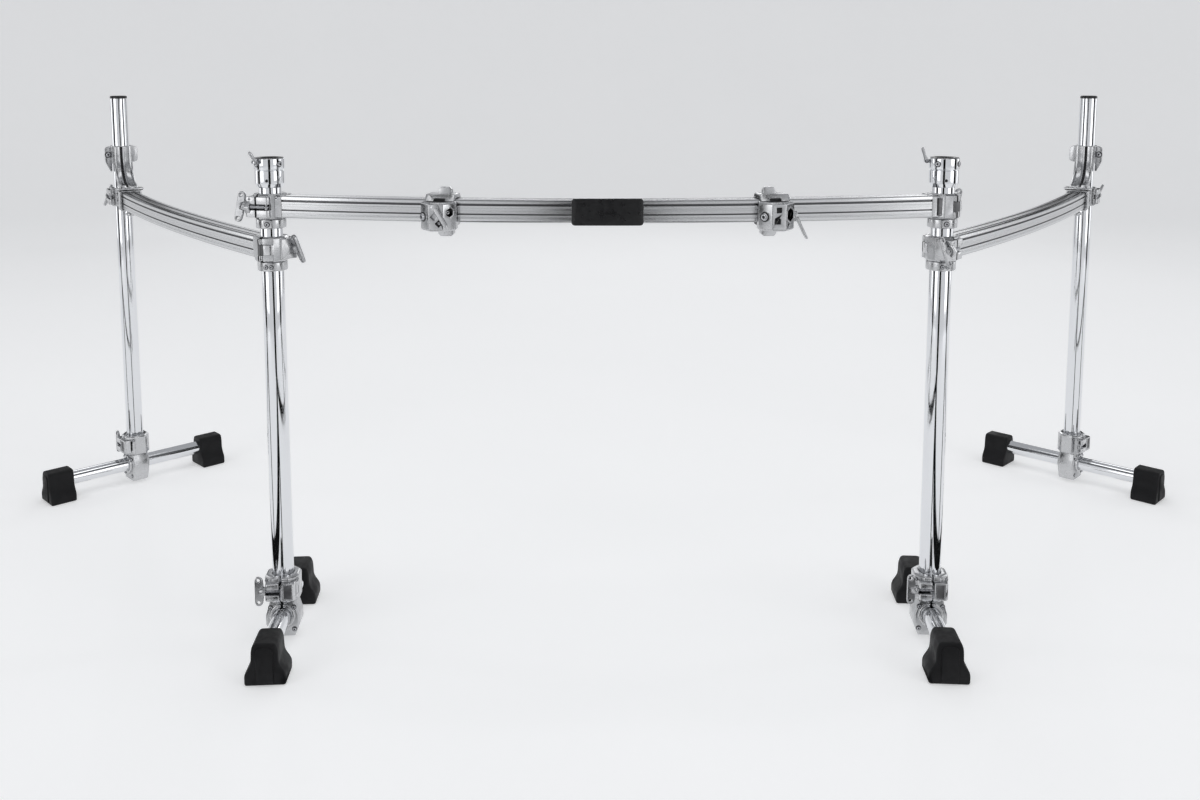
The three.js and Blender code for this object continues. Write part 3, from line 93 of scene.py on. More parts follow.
def take(obj):
    """Object mode with one object selected and active."""
    clean_slate()
    obj.select_set(True)
    bpy.context.view_layer.objects.active = obj


def edit(obj, select="DESELECT"):
    """Opens one object in edit mode with nothing selected, or with all of it."""
    take(obj)
    bpy.ops.object.mode_set(mode="EDIT")
    bpy.ops.mesh.select_all(action=select)


def draw_out(x, y, z):
    """Draws the selected edges out into new faces."""
    bpy.ops.mesh.extrude_edges_move(TRANSFORM_OT_translate={"value": (x, y, z)})


def push(x, y, z):
    """Draws the selected faces out, or sinks them, with new walls round them."""
    bpy.ops.mesh.extrude_region_move(TRANSFORM_OT_translate={"value": (x, y, z)})


def pick(obj, kind, test):
    """Selects the vertices, edges or faces whose middle passes the test, in edit mode."""
    bpy.ops.mesh.select_mode(type=kind)
    bpy.ops.mesh.select_all(action="DESELECT")
    mesh = bmesh.from_edit_mesh(obj.data)
    if kind == "VERT":
        for vertex in mesh.verts:
            vertex.select_set(bool(test(vertex.co)))
    elif kind == "EDGE":
        for edge in mesh.edges:
            if test((edge.verts[0].co + edge.verts[1].co) / 2):
                edge.select_set(True)
    else:
        for face in mesh.faces:
            if test(face.calc_center_median()):
                face.select_set(True)
    mesh.select_flush_mode()
    bmesh.update_edit_mesh(obj.data)


def move_points(obj, goal):
    """Moves every vertex, in edit mode, to the place the goal gives for its number and present place."""
    bpy.ops.mesh.select_mode(type="VERT")
    for i in range(len(bmesh.from_edit_mesh(obj.data).verts)):
        mesh = bmesh.from_edit_mesh(obj.data)
        mesh.verts.ensure_lookup_table()
        bpy.ops.mesh.select_all(action="DESELECT")
        mesh.verts[i].select_set(True)
        bmesh.update_edit_mesh(obj.data)
        point = mesh.verts[i].co.copy()
        bpy.ops.transform.translate(value=goal(i, point) - point)


def add_node(tree, kind, values=None, links=None, **settings):
    """One shader node: settings are its own options, values and links fill its sockets."""
    made = tree.nodes.new("ShaderNode" + kind)
    for key, value in settings.items():
        setattr(made, key, value)
    for key, value in (values or {}).items():
        made.inputs[key].default_value = value
    for key, socket in (links or {}).items():
        tree.links.new(socket, made.inputs[key])
    return made


def reckon(tree, operation, *terms, kind="Math"):
    """A maths node whose terms are sockets or fixed values; gives its first result."""
    made = add_node(tree, kind, operation=operation)
    for i, term in enumerate(terms):
        if isinstance(term, bpy.types.NodeSocket):
            tree.links.new(term, made.inputs[i])
        else:
            made.inputs[i].default_value = term
    return made.outputs[0]


def new_material(name, values):
    """A material with its shader's fixed values set; gives the material, its tree and its shader."""
    material = bpy.data.materials.new(name)
    material.use_nodes = True
    tree = material.node_tree
    shader = next(n for n in tree.nodes if n.type == "BSDF_PRINCIPLED")
    for key, value in values.items():
        shader.inputs[key].default_value = value
    return material, tree, shader


def grey_material(name, values, noise, dark, light):
    """A studio material that drifts between two greys."""
    material, tree, shader = new_material(name, values)
    place = add_node(tree, "TexCoord").outputs["Object"]
    cloud = add_node(tree, "TexNoise", noise, {"Vector": place})
    tone = add_node(tree, "ValToRGB", links={"Fac": cloud.outputs["Fac"]})
    tone.color_ramp.elements[0].color = (*dark, 1)
    tone.color_ramp.elements[1].color = (*light, 1)
    tree.links.new(tone.outputs["Color"], shader.inputs["Base Color"])
    return material, tree, shader


clean_slate()
bpy.ops.mesh.primitive_circle_add(vertices=128, radius=SWEEP_FLAT, fill_type="NGON")
sweep = bpy.context.object
sweep.name = "paper_sweep"
edit(sweep, "SELECT")
reach, height = SWEEP_FLAT, 0.0
for step in range(1, SWEEP_STEPS + 1):
    turn = math.radians(90) * step / SWEEP_STEPS
    new_reach = SWEEP_FLAT + SWEEP_BEND * math.sin(turn)
    new_height = SWEEP_BEND * (1 - math.cos(turn))
    bpy.ops.mesh.select_mode(type="EDGE")
    if step == 1:
        bpy.ops.mesh.region_to_loop()
    draw_out(0, 0, new_height - height)
    scale = new_reach / reach
    bpy.ops.transform.resize(value=(scale, scale, 1), center_override=(0, 0, 0))
    reach, height = new_reach, new_height
draw_out(0, 0, SWEEP_TOP - height)
bpy.ops.mesh.select_all(action="SELECT")
bpy.ops.mesh.normals_make_consistent(inside=True)
clean_slate()
for polygon in sweep.data.polygons:
    polygon.use_smooth = True
paper, tree, shader = grey_material(
    "pale_paper", {"Roughness": 0.85, "Specular IOR Level": 0.2}, {"Scale": 1.4, "Detail": 3},
    (0.78, 0.785, 0.79), (0.82, 0.825, 0.83),
)
# The paper is a little lighter where the camera sees it, straight on or in the metal, than the light makes it
seen = add_node(tree, "LightPath").outputs
looks = reckon(tree, "MAXIMUM", seen["Is Camera Ray"], seen["Is Glossy Ray"])
looks = reckon(tree, "MAXIMUM", looks, seen["Is Transmission Ray"])
shader.inputs["Emission Color"].default_value = (1, 1, 1, 1)
tree.links.new(reckon(tree, "MULTIPLY", looks, PAPER_LIFT), shader.inputs["Emission Strength"])
sweep.data.materials.append(paper)
sweep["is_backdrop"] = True


def softbox(name, place, aim, width, height, power):
    """A large soft lamp at a place, turned to a point. It shows in polished metal, not to the camera."""
    data = bpy.data.lights.new(name, "AREA")
    data.shape = "RECTANGLE"
    data.size, data.size_y = width, height
    data.energy = power
    lamp = bpy.data.objects.new(name, data)
    lamp.location = place
    lamp.rotation_euler = (Vector(aim) - Vector(place)).to_track_quat("-Z", "Y").to_euler()
    lamp.visible_camera = False
    scene.collection.objects.link(lamp)
    return lamp


softbox("softbox_left", (-3.7, -3.3, 1.7), (0, 0, 0.5), 2.0, 3.0, 25)
softbox("softbox_right", (3.8, -3.0, 1.7), (0, 0, 0.5), 2.0, 3.0, 25)
softbox("strip_left", (-4.7, 0.9, 1.6), (0, 0, 0.5), 0.6, 2.8, 9)
softbox("strip_right", (4.7, 1.0, 1.6), (0, 0, 0.5), 0.6, 2.8, 9)
softbox("softbox_above", (0, -0.6, 4.4), (0, 0, 0), 3.0, 2.4, 34)
softbox("softbox_back", (0.6, 4.6, 2.4), (0, 0, 0.7), 3.2, 0.8, 16)

# Black felt, as a photographer of bright metal puts it: strips lie on the floor from each post to the camera
# and to the side, and boards hang beside, above and behind. It shows only in the metal, as dark lines.
felt, *_ = grey_material(
    "black_felt", {"Roughness": 1.0, "Specular IOR Level": 0.0}, {"Scale": 300.0},
    (0.006, 0.006, 0.006), (0.014, 0.014, 0.014),
)
FELT_TOP = 3.2
FELT_START = 0.10
FELT_BEYOND = 0.35
FELT_THICK = 0.004
FELT_SPREAD = {"front": 3.8, "rear": 4}
SIDE_SPREAD = 4


def only_in_metal(board):
    """Felt that shows in bright metal alone: not to the camera, and it takes no light from the rack."""
    board.data.materials.append(felt)
    board.visible_camera = False
    board.visible_diffuse = False
    board.visible_shadow = False
    board.visible_transmission = False
    board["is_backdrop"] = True


def lay_felt(name, foot, aim, spread, rise):
    """One strip that widens from near a post to just beyond a point and then hangs upright."""
    away = Vector((aim[0] - foot.x, aim[1] - foot.y, 0))
    along = away.normalized()
    across = Vector((-along.y, along.x, 0)) * math.tan(math.radians(spread))
    near, far = FELT_START, away.length + FELT_BEYOND

    def corner_place(_, corner):
        side = 1 if corner.x > 0 else -1
        distance = far if corner.y > 0 else near
        return foot + (along + across * side) * distance + Vector((0, 0, FELT_THICK))

    clean_slate()
    bpy.ops.mesh.primitive_plane_add(size=2)
    strip = bpy.context.object
    strip.name = strip.data.name = name
    edit(strip)
    move_points(strip, corner_place)
    pick(strip, "EDGE", lambda middle: (middle - foot).length > far * 0.98)
    draw_out(0, 0, rise)
    clean_slate()
    only_in_metal(strip)


def hang_felt(name, place, aim, width, height):
    """One board of felt at a place, turned to a point."""
    clean_slate()
    bpy.ops.mesh.primitive_plane_add(size=1)
    board = bpy.context.object
    board.name = board.data.name = name
    board.scale = (width, height, 1)
    board.location = place
    board.rotation_euler = (Vector(aim) - Vector(place)).to_track_quat("-Z", "Y").to_euler()
    bpy.ops.object.transform_apply(location=True, rotation=True, scale=True)
    clean_slate()
    only_in_metal(board)


for name in ("front_left", "front_right", "rear_left", "rear_right"):
    low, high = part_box(name + "_post")
    foot = Vector(((low.x + high.x) / 2, (low.y + high.y) / 2, 0))
    lay_felt("felt_" + name, foot, camera.location, FELT_SPREAD[name.split("_")[0]], FELT_TOP)
    side = math.copysign(1, foot.x)
    lay_felt("felt_beside_" + name, foot, (side * 4.0, -1.2), SIDE_SPREAD, 0.05)
for name, side in (("left", -1), ("right", 1)):
    hang_felt("felt_beside_" + name, (side * 4.5, -1.3, 1.5), (0, 0, 1.5), 1.4, 3.0)
    hang_felt("felt_above_" + name, (side * 1.9, -0.8, 3.3), (side * 0.6, -0.8, 0), 0.7, 4.6)
    hang_felt("felt_behind_" + name, (side * 2.9, 4.2, 1.5), (0, 0, 1.5), 0.8, 3.0)

world = bpy.data.worlds.new("sky")
scene.world = world
world.use_nodes = True
backing = next(n for n in world.node_tree.nodes if n.type == "BACKGROUND")
backing.inputs["Color"].default_value = (0.94, 0.96, 1.0, 1)
backing.inputs["Strength"].default_value = 0.42


# Posts: four upright steel tubes of 38.1 mm with a 2 mm wall, welded, drawn, polished and chrome plated.
# The front pair ends inside the cups, the rear pair carries caps; all four stand in the T-clamps.
POST_RADIUS = 0.01905
POST_WALL = 0.002
POST_SIDES = 96
POSTS = {
    "front_left": "front_frame",
    "front_right": "front_frame",
    "rear_left": "rear_left_leg",
    "rear_right": "rear_right_leg",
}


def modify(obj, kind, **settings):
    """Adds one modifier with its settings and applies it."""
    take(obj)
    modifier = obj.modifiers.new(kind.lower(), kind)
    for key, value in settings.items():
        setattr(modifier, key, value)
    bpy.ops.object.modifier_apply(modifier=modifier.name)


def round_edges(obj, width, segments=2, angle=50):
    """Breaks the edges sharper than the angle, as tumbling or polishing does."""
    modify(
        obj, "BEVEL", width=width, segments=segments, limit_method="ANGLE", angle_limit=math.radians(angle),
        use_clamp_overlap=False,
    )


def shade(obj, angle=35):
    """Smooth shading that breaks at the sharper edges."""
    take(obj)
    bpy.ops.object.shade_smooth_by_angle(angle=math.radians(angle))


def put(obj, matrix):
    """Moves a piece to its place and keeps the place in its mesh."""
    take(obj)
    obj.matrix_world = matrix @ obj.matrix_world
    bpy.ops.object.transform_apply(location=True, rotation=True, scale=True)


def paint(obj, material):
    """Gives the whole piece one finish."""
    obj.data.materials.clear()
    obj.data.materials.append(material)


def fasten(obj, body, slot, *nodes):
    """Lets the finished piece ride on its CAD body and stand for the nodes that it redraws."""
    if nodes:
        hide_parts(*nodes)
    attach(obj, body)


def dress(obj, material, edge=0.0, segments=2, angle=35):
    """Rounds the piece's edges where a width is given, shades it and gives it its finish."""
    if edge:
        round_edges(obj, edge, segments)
    shade(obj, angle)
    paint(obj, material)


def cylinder(name, sides, radius, length, fill="NGON", **place):
    """A cylinder with its place kept in its mesh."""
    clean_slate()
    bpy.ops.mesh.primitive_cylinder_add(
        vertices=sides, radius=radius, depth=length, end_fill_type=fill, **place
    )
    made = bpy.context.object
    made.name = made.data.name = name
    bpy.ops.object.transform_apply(location=True, rotation=True, scale=True)
    return made


def new_group(name, inputs, output, kind):
    """An empty shader group with named sockets; gives the tree, where they enter and where one leaves."""
    tree = bpy.data.node_groups.new(name, "ShaderNodeTree")
    for socket, its_kind in inputs.items():
        tree.interface.new_socket(name=socket, in_out="INPUT", socket_type="NodeSocket" + its_kind)
    tree.interface.new_socket(name=output, in_out="OUTPUT", socket_type="NodeSocket" + kind)
    return tree, tree.nodes.new("NodeGroupInput").outputs, tree.nodes.new("NodeGroupOutput").inputs[0]


def use_group(tree, group, values, place):
    """Places a shader group in a material with its own values."""
    made = tree.nodes.new("ShaderNodeGroup")
    made.node_tree = group
    for key, value in values.items():
        made.inputs[key].default_value = value
    tree.links.new(place, made.inputs["Place"])
    return made


# Smudges and wiping marks that change how sharply a handled surface reflects
sockets = {"Place": "Vector", "Size": "Float", "Low": "Float", "High": "Float"}
handling, enter, leave = new_group("handling_marks", sockets, "Roughness", "Float")
sized = {"Vector": enter["Place"], "Scale": enter["Size"]}
broad = add_node(handling, "TexNoise", {"Detail": 4.0, "Roughness": 0.62}, sized)
squeeze = add_node(handling, "MapRange", {1: 0.36, 2: 0.66}, {"Value": broad.outputs["Fac"]})
squeeze.interpolation_type = "SMOOTHSTEP"
ends = {"Value": squeeze.outputs["Result"], 3: enter["Low"], 4: enter["High"]}
level = add_node(handling, "MapRange", {1: 0.0, 2: 1.0}, ends)
handling.links.new(level.outputs["Result"], leave)

# Fine skin of a surface: two sizes of noise for a bump
sockets = {"Place": "Vector", "Size": "Float", "Mix": "Float"}
skin, enter, leave = new_group("fine_skin", sockets, "Height", "Float")
sized = {"Vector": enter["Place"], "Scale": enter["Size"]}
fine = add_node(skin, "TexNoise", {"Detail": 2.0}, sized)
sized["Scale"] = reckon(skin, "MULTIPLY", enter["Size"], 0.27)
coarse = add_node(skin, "TexNoise", {"Detail": 2.0}, sized)
shares = {"Factor": enter["Mix"], 2: fine.outputs["Fac"], 3: coarse.outputs["Fac"]}
both = add_node(skin, "Mix", links=shares, data_type="FLOAT")
skin.links.new(both.outputs[0], leave)

# Plated tone: a slow drift between two close colours, as chrome over steel shows
sockets = {"Place": "Vector", "Size": "Float", "Bright": "Color", "Dull": "Color"}
drift, enter, leave = new_group("plated_tone", sockets, "Color", "Color")
sized = {"Vector": enter["Place"], "Scale": enter["Size"]}
cloud = add_node(drift, "TexNoise", {"Detail": 3.0}, sized)
tones = {"Factor": cloud.outputs["Fac"], 6: enter["Dull"], 7: enter["Bright"]}
blend = add_node(drift, "Mix", links=tones, data_type="RGBA")
drift.links.new(blend.outputs[2], leave)


def coat(tree, shader, place, tone, marks, grain, bump):
    """What every finish here has: a tone (size, bright, dull), handling marks (size, low, high) and a skin
    (size, mix) with its bump (strength, distance). Gives the tone, for a finish that lays more over it."""
    bright, dull = ((*colour, 1) for colour in tone[1:])
    tones = use_group(tree, drift, {"Size": tone[0], "Bright": bright, "Dull": dull}, place)
    worn = use_group(tree, handling, {"Size": marks[0], "Low": marks[1], "High": marks[2]}, place)
    fine = use_group(tree, skin, {"Size": grain[0], "Mix": grain[1]}, place)
    raised = {"Height": fine.outputs["Height"]}
    bumps = add_node(tree, "Bump", {"Strength": bump[0], "Distance": bump[1]}, raised)
    tree.links.new(tones.outputs["Color"], shader.inputs["Base Color"])
    tree.links.new(worn.outputs["Roughness"], shader.inputs["Roughness"])
    tree.links.new(bumps.outputs["Normal"], shader.inputs["Normal"])
    return tones.outputs["Color"]


def cover(tree, shader, tone, colour, share):
    """Lays a second colour over the tone, as much as the share says."""
    laid = add_node(tree, "Mix", {7: (*colour, 1)}, {"Factor": share, 6: tone}, data_type="RGBA")
    tree.links.new(laid.outputs[2], shader.inputs["Base Color"])


def finish(name, values, **coats):
    """A material on Object coordinates with its coats; gives it, its tree, shader, place and tone."""
    material, tree, shader = new_material(name, values)
    place = add_node(tree, "TexCoord").outputs["Object"]
    return material, tree, shader, place, coat(tree, shader, place, **coats)


chrome, *_ = finish(
    "polished_chrome", {"Metallic": 1.0}, tone=(5.0, (0.83, 0.84, 0.86), (0.76, 0.77, 0.79)),
    marks=(26.0, 0.045, 0.1), grain=(38.0, 0.6), bump=(0.05, 0.0006),
)

post_place = {}
for name, body in POSTS.items():
    low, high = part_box(name + "_post")
    post_place[name] = Vector(((low.x + high.x) / 2, (low.y + high.y) / 2, 0))
    middle = (0, 0, (low.z + high.z) / 2)
    post = cylinder(name + "_post_tube", POST_SIDES, POST_RADIUS, high.z - low.z, "NOTHING", location=middle)
    modify(post, "SOLIDIFY", thickness=POST_WALL, offset=-1)
    dress(post, chrome, 0.0005)
    put(post, Matrix.Translation(post_place[name]))
    fasten(post, body, "chrome", name + "_post")


# Foot tubes: chromed steel tubes of 31.75 mm that lie across under each post.
# A band of fine ribs runs along the top of each, where the T-clamp's saddle grips.
FOOT_RADIUS = 0.015875
FOOT_HEIGHT = 0.047
FOOT_WALL = 0.002
FOOT_SIDES = 144
RIB_HALF_TURN = math.radians(21)
RIB_DEPTH = 0.0005
FOOT_LENGTHS = {"front": 0.350, "rear": 0.432}
FOOT_INSET = 0.0123
FOOT_TURNS = {"front": math.radians(-4), "rear": math.radians(46)}
foot_frame = {}
foot_body = {name: name + "_foot" for name in POSTS}


def between_ribs(point):
    """Every second line of vertices in the band on top: pressed in, these leave the ribs standing."""
    turn = math.atan2(point.x, point.z)
    return abs(turn) < RIB_HALF_TURN and round(turn / (2 * math.pi / FOOT_SIDES)) % 2


for name in POSTS:
    end, side = name.split("_")
    turn = FOOT_TURNS[end] * (-1 if side == "left" else 1)
    foot_frame[name] = Matrix.Translation(post_place[name]) @ Matrix.Rotation(turn, 4, "Z")
    length = FOOT_LENGTHS[end] - 2 * FOOT_INSET
    lying = (math.radians(90), 0, 0)
    tube = cylinder(name + "_foot_rail", FOOT_SIDES, FOOT_RADIUS, length, "NOTHING", rotation=lying)
    edit(tube)
    pick(tube, "VERT", between_ribs)
    bpy.ops.transform.shrink_fatten(value=-RIB_DEPTH)
    modify(tube, "SOLIDIFY", thickness=FOOT_WALL, offset=-1)
    dress(tube, chrome, angle=12)
    put(tube, foot_frame[name] @ Matrix.Translation((0, 0, FOOT_HEIGHT)))
    fasten(tube, foot_body[name], "chrome", name + "_foot_tube")


# T-clamps: zinc die castings with a bright satin plating, one under each post. The split block grips the
# post, the saddle below grips the foot tube, and the pockets in the block are painted dark, as painted shade.
T_MIDDLE = 0.097
BOLT_SIDES = 30
FORWARD = (0, -1, 0)


def casting(node, width):
    """The node's own form as a loose copy, merged, its edges rounded as on a tumbled casting, and plated."""
    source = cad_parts[node]
    made = bpy.data.objects.new(node + "_casting", source.data.copy())
    made.data.name = made.name
    scene.collection.objects.link(made)
    edit(made, "SELECT")
    bpy.ops.mesh.remove_doubles(threshold=0.000004)
    bpy.ops.mesh.dissolve_limited(angle_limit=math.radians(1))
    clean_slate()
    round_edges(made, width, 3, 30)
    dress(made, cast_metal)
    return made


def paint_where(obj, material, test, home=Matrix()):
    """Gives a second finish to the faces whose middle, seen from the home frame, passes the test."""
    if material.name not in obj.data.materials:
        obj.data.materials.append(material)
    index = obj.data.materials.find(material.name)
    back = home.inverted()
    edit(obj)
    pick(obj, "FACE", lambda point: test(back @ point))
    obj.active_material_index = index
    bpy.ops.object.material_slot_assign()
    clean_slate()


def join(first, *others):
    """Makes one piece of several; each keeps its finish."""
    clean_slate()
    for part in (first, *others):
        part.select_set(True)
    bpy.context.view_layer.objects.active = first
    bpy.ops.object.join()
    return first


cast_metal, tree, shader, _, tone = finish(
    "satin_plated_casting", {"Metallic": 1.0}, tone=(30.0, (0.5, 0.505, 0.515), (0.37, 0.375, 0.385)),
    marks=(60.0, 0.2, 0.33), grain=(420.0, 0.55), bump=(0.12, 0.0003),
)
# Bright edges: where Pointiness finds a sharp outer edge, near-white is laid over the tone; partly the polish
# that wear gives these edges, partly a painted highlight.
edges = add_node(tree, "NewGeometry").outputs["Pointiness"]
worn = add_node(tree, "MapRange", {1: 0.5, 2: 0.6, 3: 0.0, 4: 0.85}, {"Value": edges})
cover(tree, shader, tone, (0.95, 0.95, 0.96), worn.outputs["Result"])

# Painted shade: a near-black finish laid on the floors and walls of sockets, pockets, slots, grooves and
# gaps, where shade falls.
painted_shade, *_ = finish(
    "painted_shade", {"Metallic": 0.35}, tone=(90.0, (0.03, 0.03, 0.032), (0.012, 0.012, 0.013)),
    marks=(90.0, 0.42, 0.6), grain=(900.0, 0.4), bump=(0.25, 0.0003),
)
shaded_panel, *_ = finish(
    "shaded_panel", {"Metallic": 0.9}, tone=(60.0, (0.22, 0.22, 0.225), (0.14, 0.14, 0.145)),
    marks=(80.0, 0.3, 0.45), grain=(700.0, 0.4), bump=(0.2, 0.0003),
)
bolt_steel, *_ = finish(
    "bolt_steel", {"Metallic": 1.0}, tone=(120.0, (0.6, 0.61, 0.63), (0.42, 0.42, 0.44)),
    marks=(140.0, 0.14, 0.3), grain=(1200.0, 0.3), bump=(0.08, 0.0002),
)


def oblong(x, y):
    """The corners of a rectangle, half as wide and high as given, from the lower left round."""
    return [(-x, -y), (x, -y), (x, y), (-x, y)]


def rounded(points, radius, steps=4, sharp=()):
    """The outline with its corners drawn round; corners listed as sharp stay."""
    made = []
    for i, corner in enumerate(points):
        here = Vector(corner)
        before = Vector(points[i - 1]) - here
        after = Vector(points[(i + 1) % len(points)]) - here
        if i in sharp or radius <= 0:
            made.append(tuple(here))
            continue
        size = min(radius, before.length * 0.48, after.length * 0.48)
        first = here + before.normalized() * size
        last = here + after.normalized() * size
        for k in range(steps + 1):
            t = k / steps
            made.append(tuple(first * (1 - t) ** 2 + here * 2 * t * (1 - t) + last * t**2))
    return made


def loop_of(name, points):
    """A closed loop of edges through the points, all selected: a circle whose vertices are moved."""
    clean_slate()
    bpy.ops.mesh.primitive_circle_add(vertices=len(points), radius=0.01)
    loop = bpy.context.object
    loop.name = loop.data.name = name
    edit(loop)
    move_points(loop, lambda i, _: Vector(points[i]))
    bpy.ops.mesh.select_all(action="SELECT")
    return loop


def tidy_up(obj):
    """Merges doubled points and turns the faces outwards."""
    edit(obj, "SELECT")
    bpy.ops.mesh.remove_doubles(threshold=0.000002)
    bpy.ops.mesh.normals_make_consistent(inside=False)
    clean_slate()


def slab(name, points, depth):
    """A solid with the closed outline, drawn out along the depth."""
    made = loop_of(name, points)
    bpy.ops.mesh.edge_face_add()
    push(*depth)
    tidy_up(made)
    return made


def facing(point, direction):
    """Frame whose Z looks along the direction, at the point."""
    return Matrix.Translation(point) @ Vector(direction).to_track_quat("Z", "Y").to_matrix().to_4x4()


def key_bolt(name, radius, head, place):
    """Bolt head at a place: a ring of painted shade round its seat, a washer, a domed head and a sunk key
    socket painted dark as shade.
    """
    sunk = 0.0008
    middle = (0, 0, (head * 0.12 - sunk) / 2)
    bolt = cylinder(name, BOLT_SIDES, radius * 1.32, head * 0.12 + sunk, location=middle)
    edit(bolt)
    pick(bolt, "FACE", lambda point: point.z > head * 0.115)
    for inwards, depth, rise in ((0.32, 0, 0.2), (0.18, 0, 0.5), (0.12, 0.15, 0), (0.28, 0, -0.5)):
        bpy.ops.mesh.inset(thickness=radius * inwards, depth=head * depth)
        if rise:
            push(0, 0, head * rise)
    clean_slate()
    paint(bolt, bolt_steel)
    # Painted shade: the key socket's floor and the ring round the seat are painted dark.
    paint_where(bolt, painted_shade, lambda p: p.xy.length < radius * 0.34 or p.xy.length > radius * 1.03)
    round_edges(bolt, head * 0.06, 2, 40)
    shade(bolt)
    put(bolt, place)
    return bolt


def framed_hollow(name, outline, rim, proud, place, sunk=0.0012):
    """A shallow hollow at a place, in its own raised rim, with painted shade on its floor."""
    made = slab(name, [(x, y, -0.001) for x, y in outline], (0, 0, 0.001 + proud))
    edit(made)
    pick(made, "FACE", lambda point: point.z > proud - 0.0001)
    bpy.ops.mesh.inset(thickness=rim, depth=0)
    push(0, 0, -sunk)
    clean_slate()
    paint(made, cast_metal)
    # Painted shade: the hollow's floor is painted dark.
    paint_where(made, painted_shade, lambda p: abs(p.z - proud + sunk) < 0.0001)
    round_edges(made, rim * 0.25)
    shade(made)
    put(made, place)
    return made


def on_panel(p):
    """The flat panel beside the post, on the block's front."""
    return 0.006 < p.x < 0.0195 and abs(p.z - T_MIDDLE) < 0.0125 and -0.0362 < p.y < -0.0342


def in_pocket(p):
    """The floor of the pocket in the block's slanting face."""
    beside, out = abs(p.x + p.y - 0.002), (p.x - p.y) * 0.7071
    return beside < 0.0045 and abs(p.z - T_MIDDLE) < 0.0105 and 0.0262 < out < 0.0275


for name in POSTS:
    home = foot_frame[name]
    clamp = casting(name + "_t_clamp", 0.0013)
    paint_where(clamp, shaded_panel, on_panel, home)
    # Painted shade: the floor of the pocket in the slanting face is painted dark.
    paint_where(clamp, painted_shade, in_pocket, home)
    bolts = [
        key_bolt("saddle_bolt", 0.0034, 0.0026, home @ facing((x, -0.0202, z), FORWARD))
        for z in (0.0215, 0.0625)
        for x in (0.0205, -0.0205)
    ]
    for side in (-1, 1):
        high, low = (home @ facing((side * 0.0266, -0.0158, z), (side, -1, 0)) for z in (0.1115, 0.0945))
        pill = rounded(oblong(0.0033, 0.0095), 0.0033, 6)
        bolts.append(key_bolt("facet_bolt", 0.0030, 0.0022, high))
        bolts.append(framed_hollow("facet_slot", pill, 0.0009, 0.0007, low))
    join(clamp, *bolts)
    fasten(clamp, foot_body[name], "cast_metal", name + "_t_clamp")


# Rubber feet: moulded black rubber boots pushed over the ends of the foot tubes, flared where they stand.
# A raised panel with an arched top covers the middle of the outer face, and a lip grips the tube.
RUBBER_LENGTH = 0.060
PANEL_PROUD = 0.0022
LIP_TALL = 0.0026


def turned(name, profile, sides=48):
    """A turned solid round Z: the closed [radius, height] profile is spun all round."""
    made = loop_of(name, [(r, 0, z) for r, z in profile])
    bpy.ops.mesh.spin(steps=sides, angle=2 * math.pi, center=(0, 0, 0), axis=(0, 0, 1))
    tidy_up(made)
    return made


def copy_of(source, name):
    """A copy of a piece with a mesh of its own."""
    made = source.copy()
    made.data = source.data.copy()
    made.name = made.data.name = name
    scene.collection.objects.link(made)
    return made


rubber, tree, shader, place, tone = finish(
    "black_rubber", {"Specular IOR Level": 0.22}, tone=(24.0, (0.012, 0.012, 0.013), (0.006, 0.006, 0.007)),
    marks=(45.0, 0.48, 0.66), grain=(1100.0, 0.4), bump=(0.35, 0.0003),
)
up = add_node(tree, "SeparateXYZ", links={0: add_node(tree, "NewGeometry").outputs["Normal"]})
top = add_node(tree, "MapRange", {1: 0.55, 2: 1.0, 3: 0.0, 4: 0.22}, {"Value": up.outputs["Z"]})
fleck = add_node(tree, "TexNoise", {"Scale": 160.0, "Detail": 5.0}, {"Vector": place})
dust = reckon(tree, "MULTIPLY", top.outputs["Result"], fleck.outputs["Fac"])
cover(tree, shader, tone, (0.1, 0.098, 0.095), dust)


def mirrored(side):
    """A closed outline of which only the right side is given."""
    return side + [(-x, z) for x, z in reversed(side)]


boot_side = [(0.0342, 0.0), (0.0347, 0.019), (0.0232, 0.0365), (0.0222, 0.062), (0.0178, 0.0738)]
boot_outline = rounded(mirrored(boot_side), 0.007, 5, sharp=(0, 9))
boot_depth = (0, RUBBER_LENGTH - PANEL_PROUD, 0)
boot = slab("boot_master", [(x, PANEL_PROUD, z) for x, z in boot_outline], boot_depth)
dress(boot, rubber, 0.0042, 5, 45)
panel_outline = rounded(mirrored([(0.0146, 0.0045), (0.0146, 0.0665)]), 0.011, 6, sharp=(0, 3))
panel = slab("boot_panel", [(x, 0.006, z) for x, z in panel_outline], (0, -0.006, 0))
dress(panel, rubber, 0.0014, 3, 45)
lip_profile = [(0.0155, 0), (0.0195, 0), (0.0185, LIP_TALL), (0.0155, LIP_TALL)]
lip = turned("boot_lip", rounded(lip_profile, 0.001, 3), 40)
lying = Matrix.Rotation(math.radians(-90), 4, "X")
put(lip, Matrix.Translation((0, RUBBER_LENGTH - LIP_TALL, FOOT_HEIGHT)) @ lying)
dress(lip, rubber, angle=45)
join(boot, panel, lip)

for name in POSTS:
    end_place = Matrix.Translation((0, -FOOT_LENGTHS[name.split("_")[0]] / 2, 0))
    for end, turn in (("near", 0), ("far", math.pi)):
        foot = copy_of(boot, f"{name}_{end}_boot")
        put(foot, foot_frame[name] @ Matrix.Rotation(turn, 4, "Z") @ end_place)
        fasten(foot, foot_body[name], "black_rubber", f"{name}_{end}_rubber")
bpy.data.objects.remove(boot)


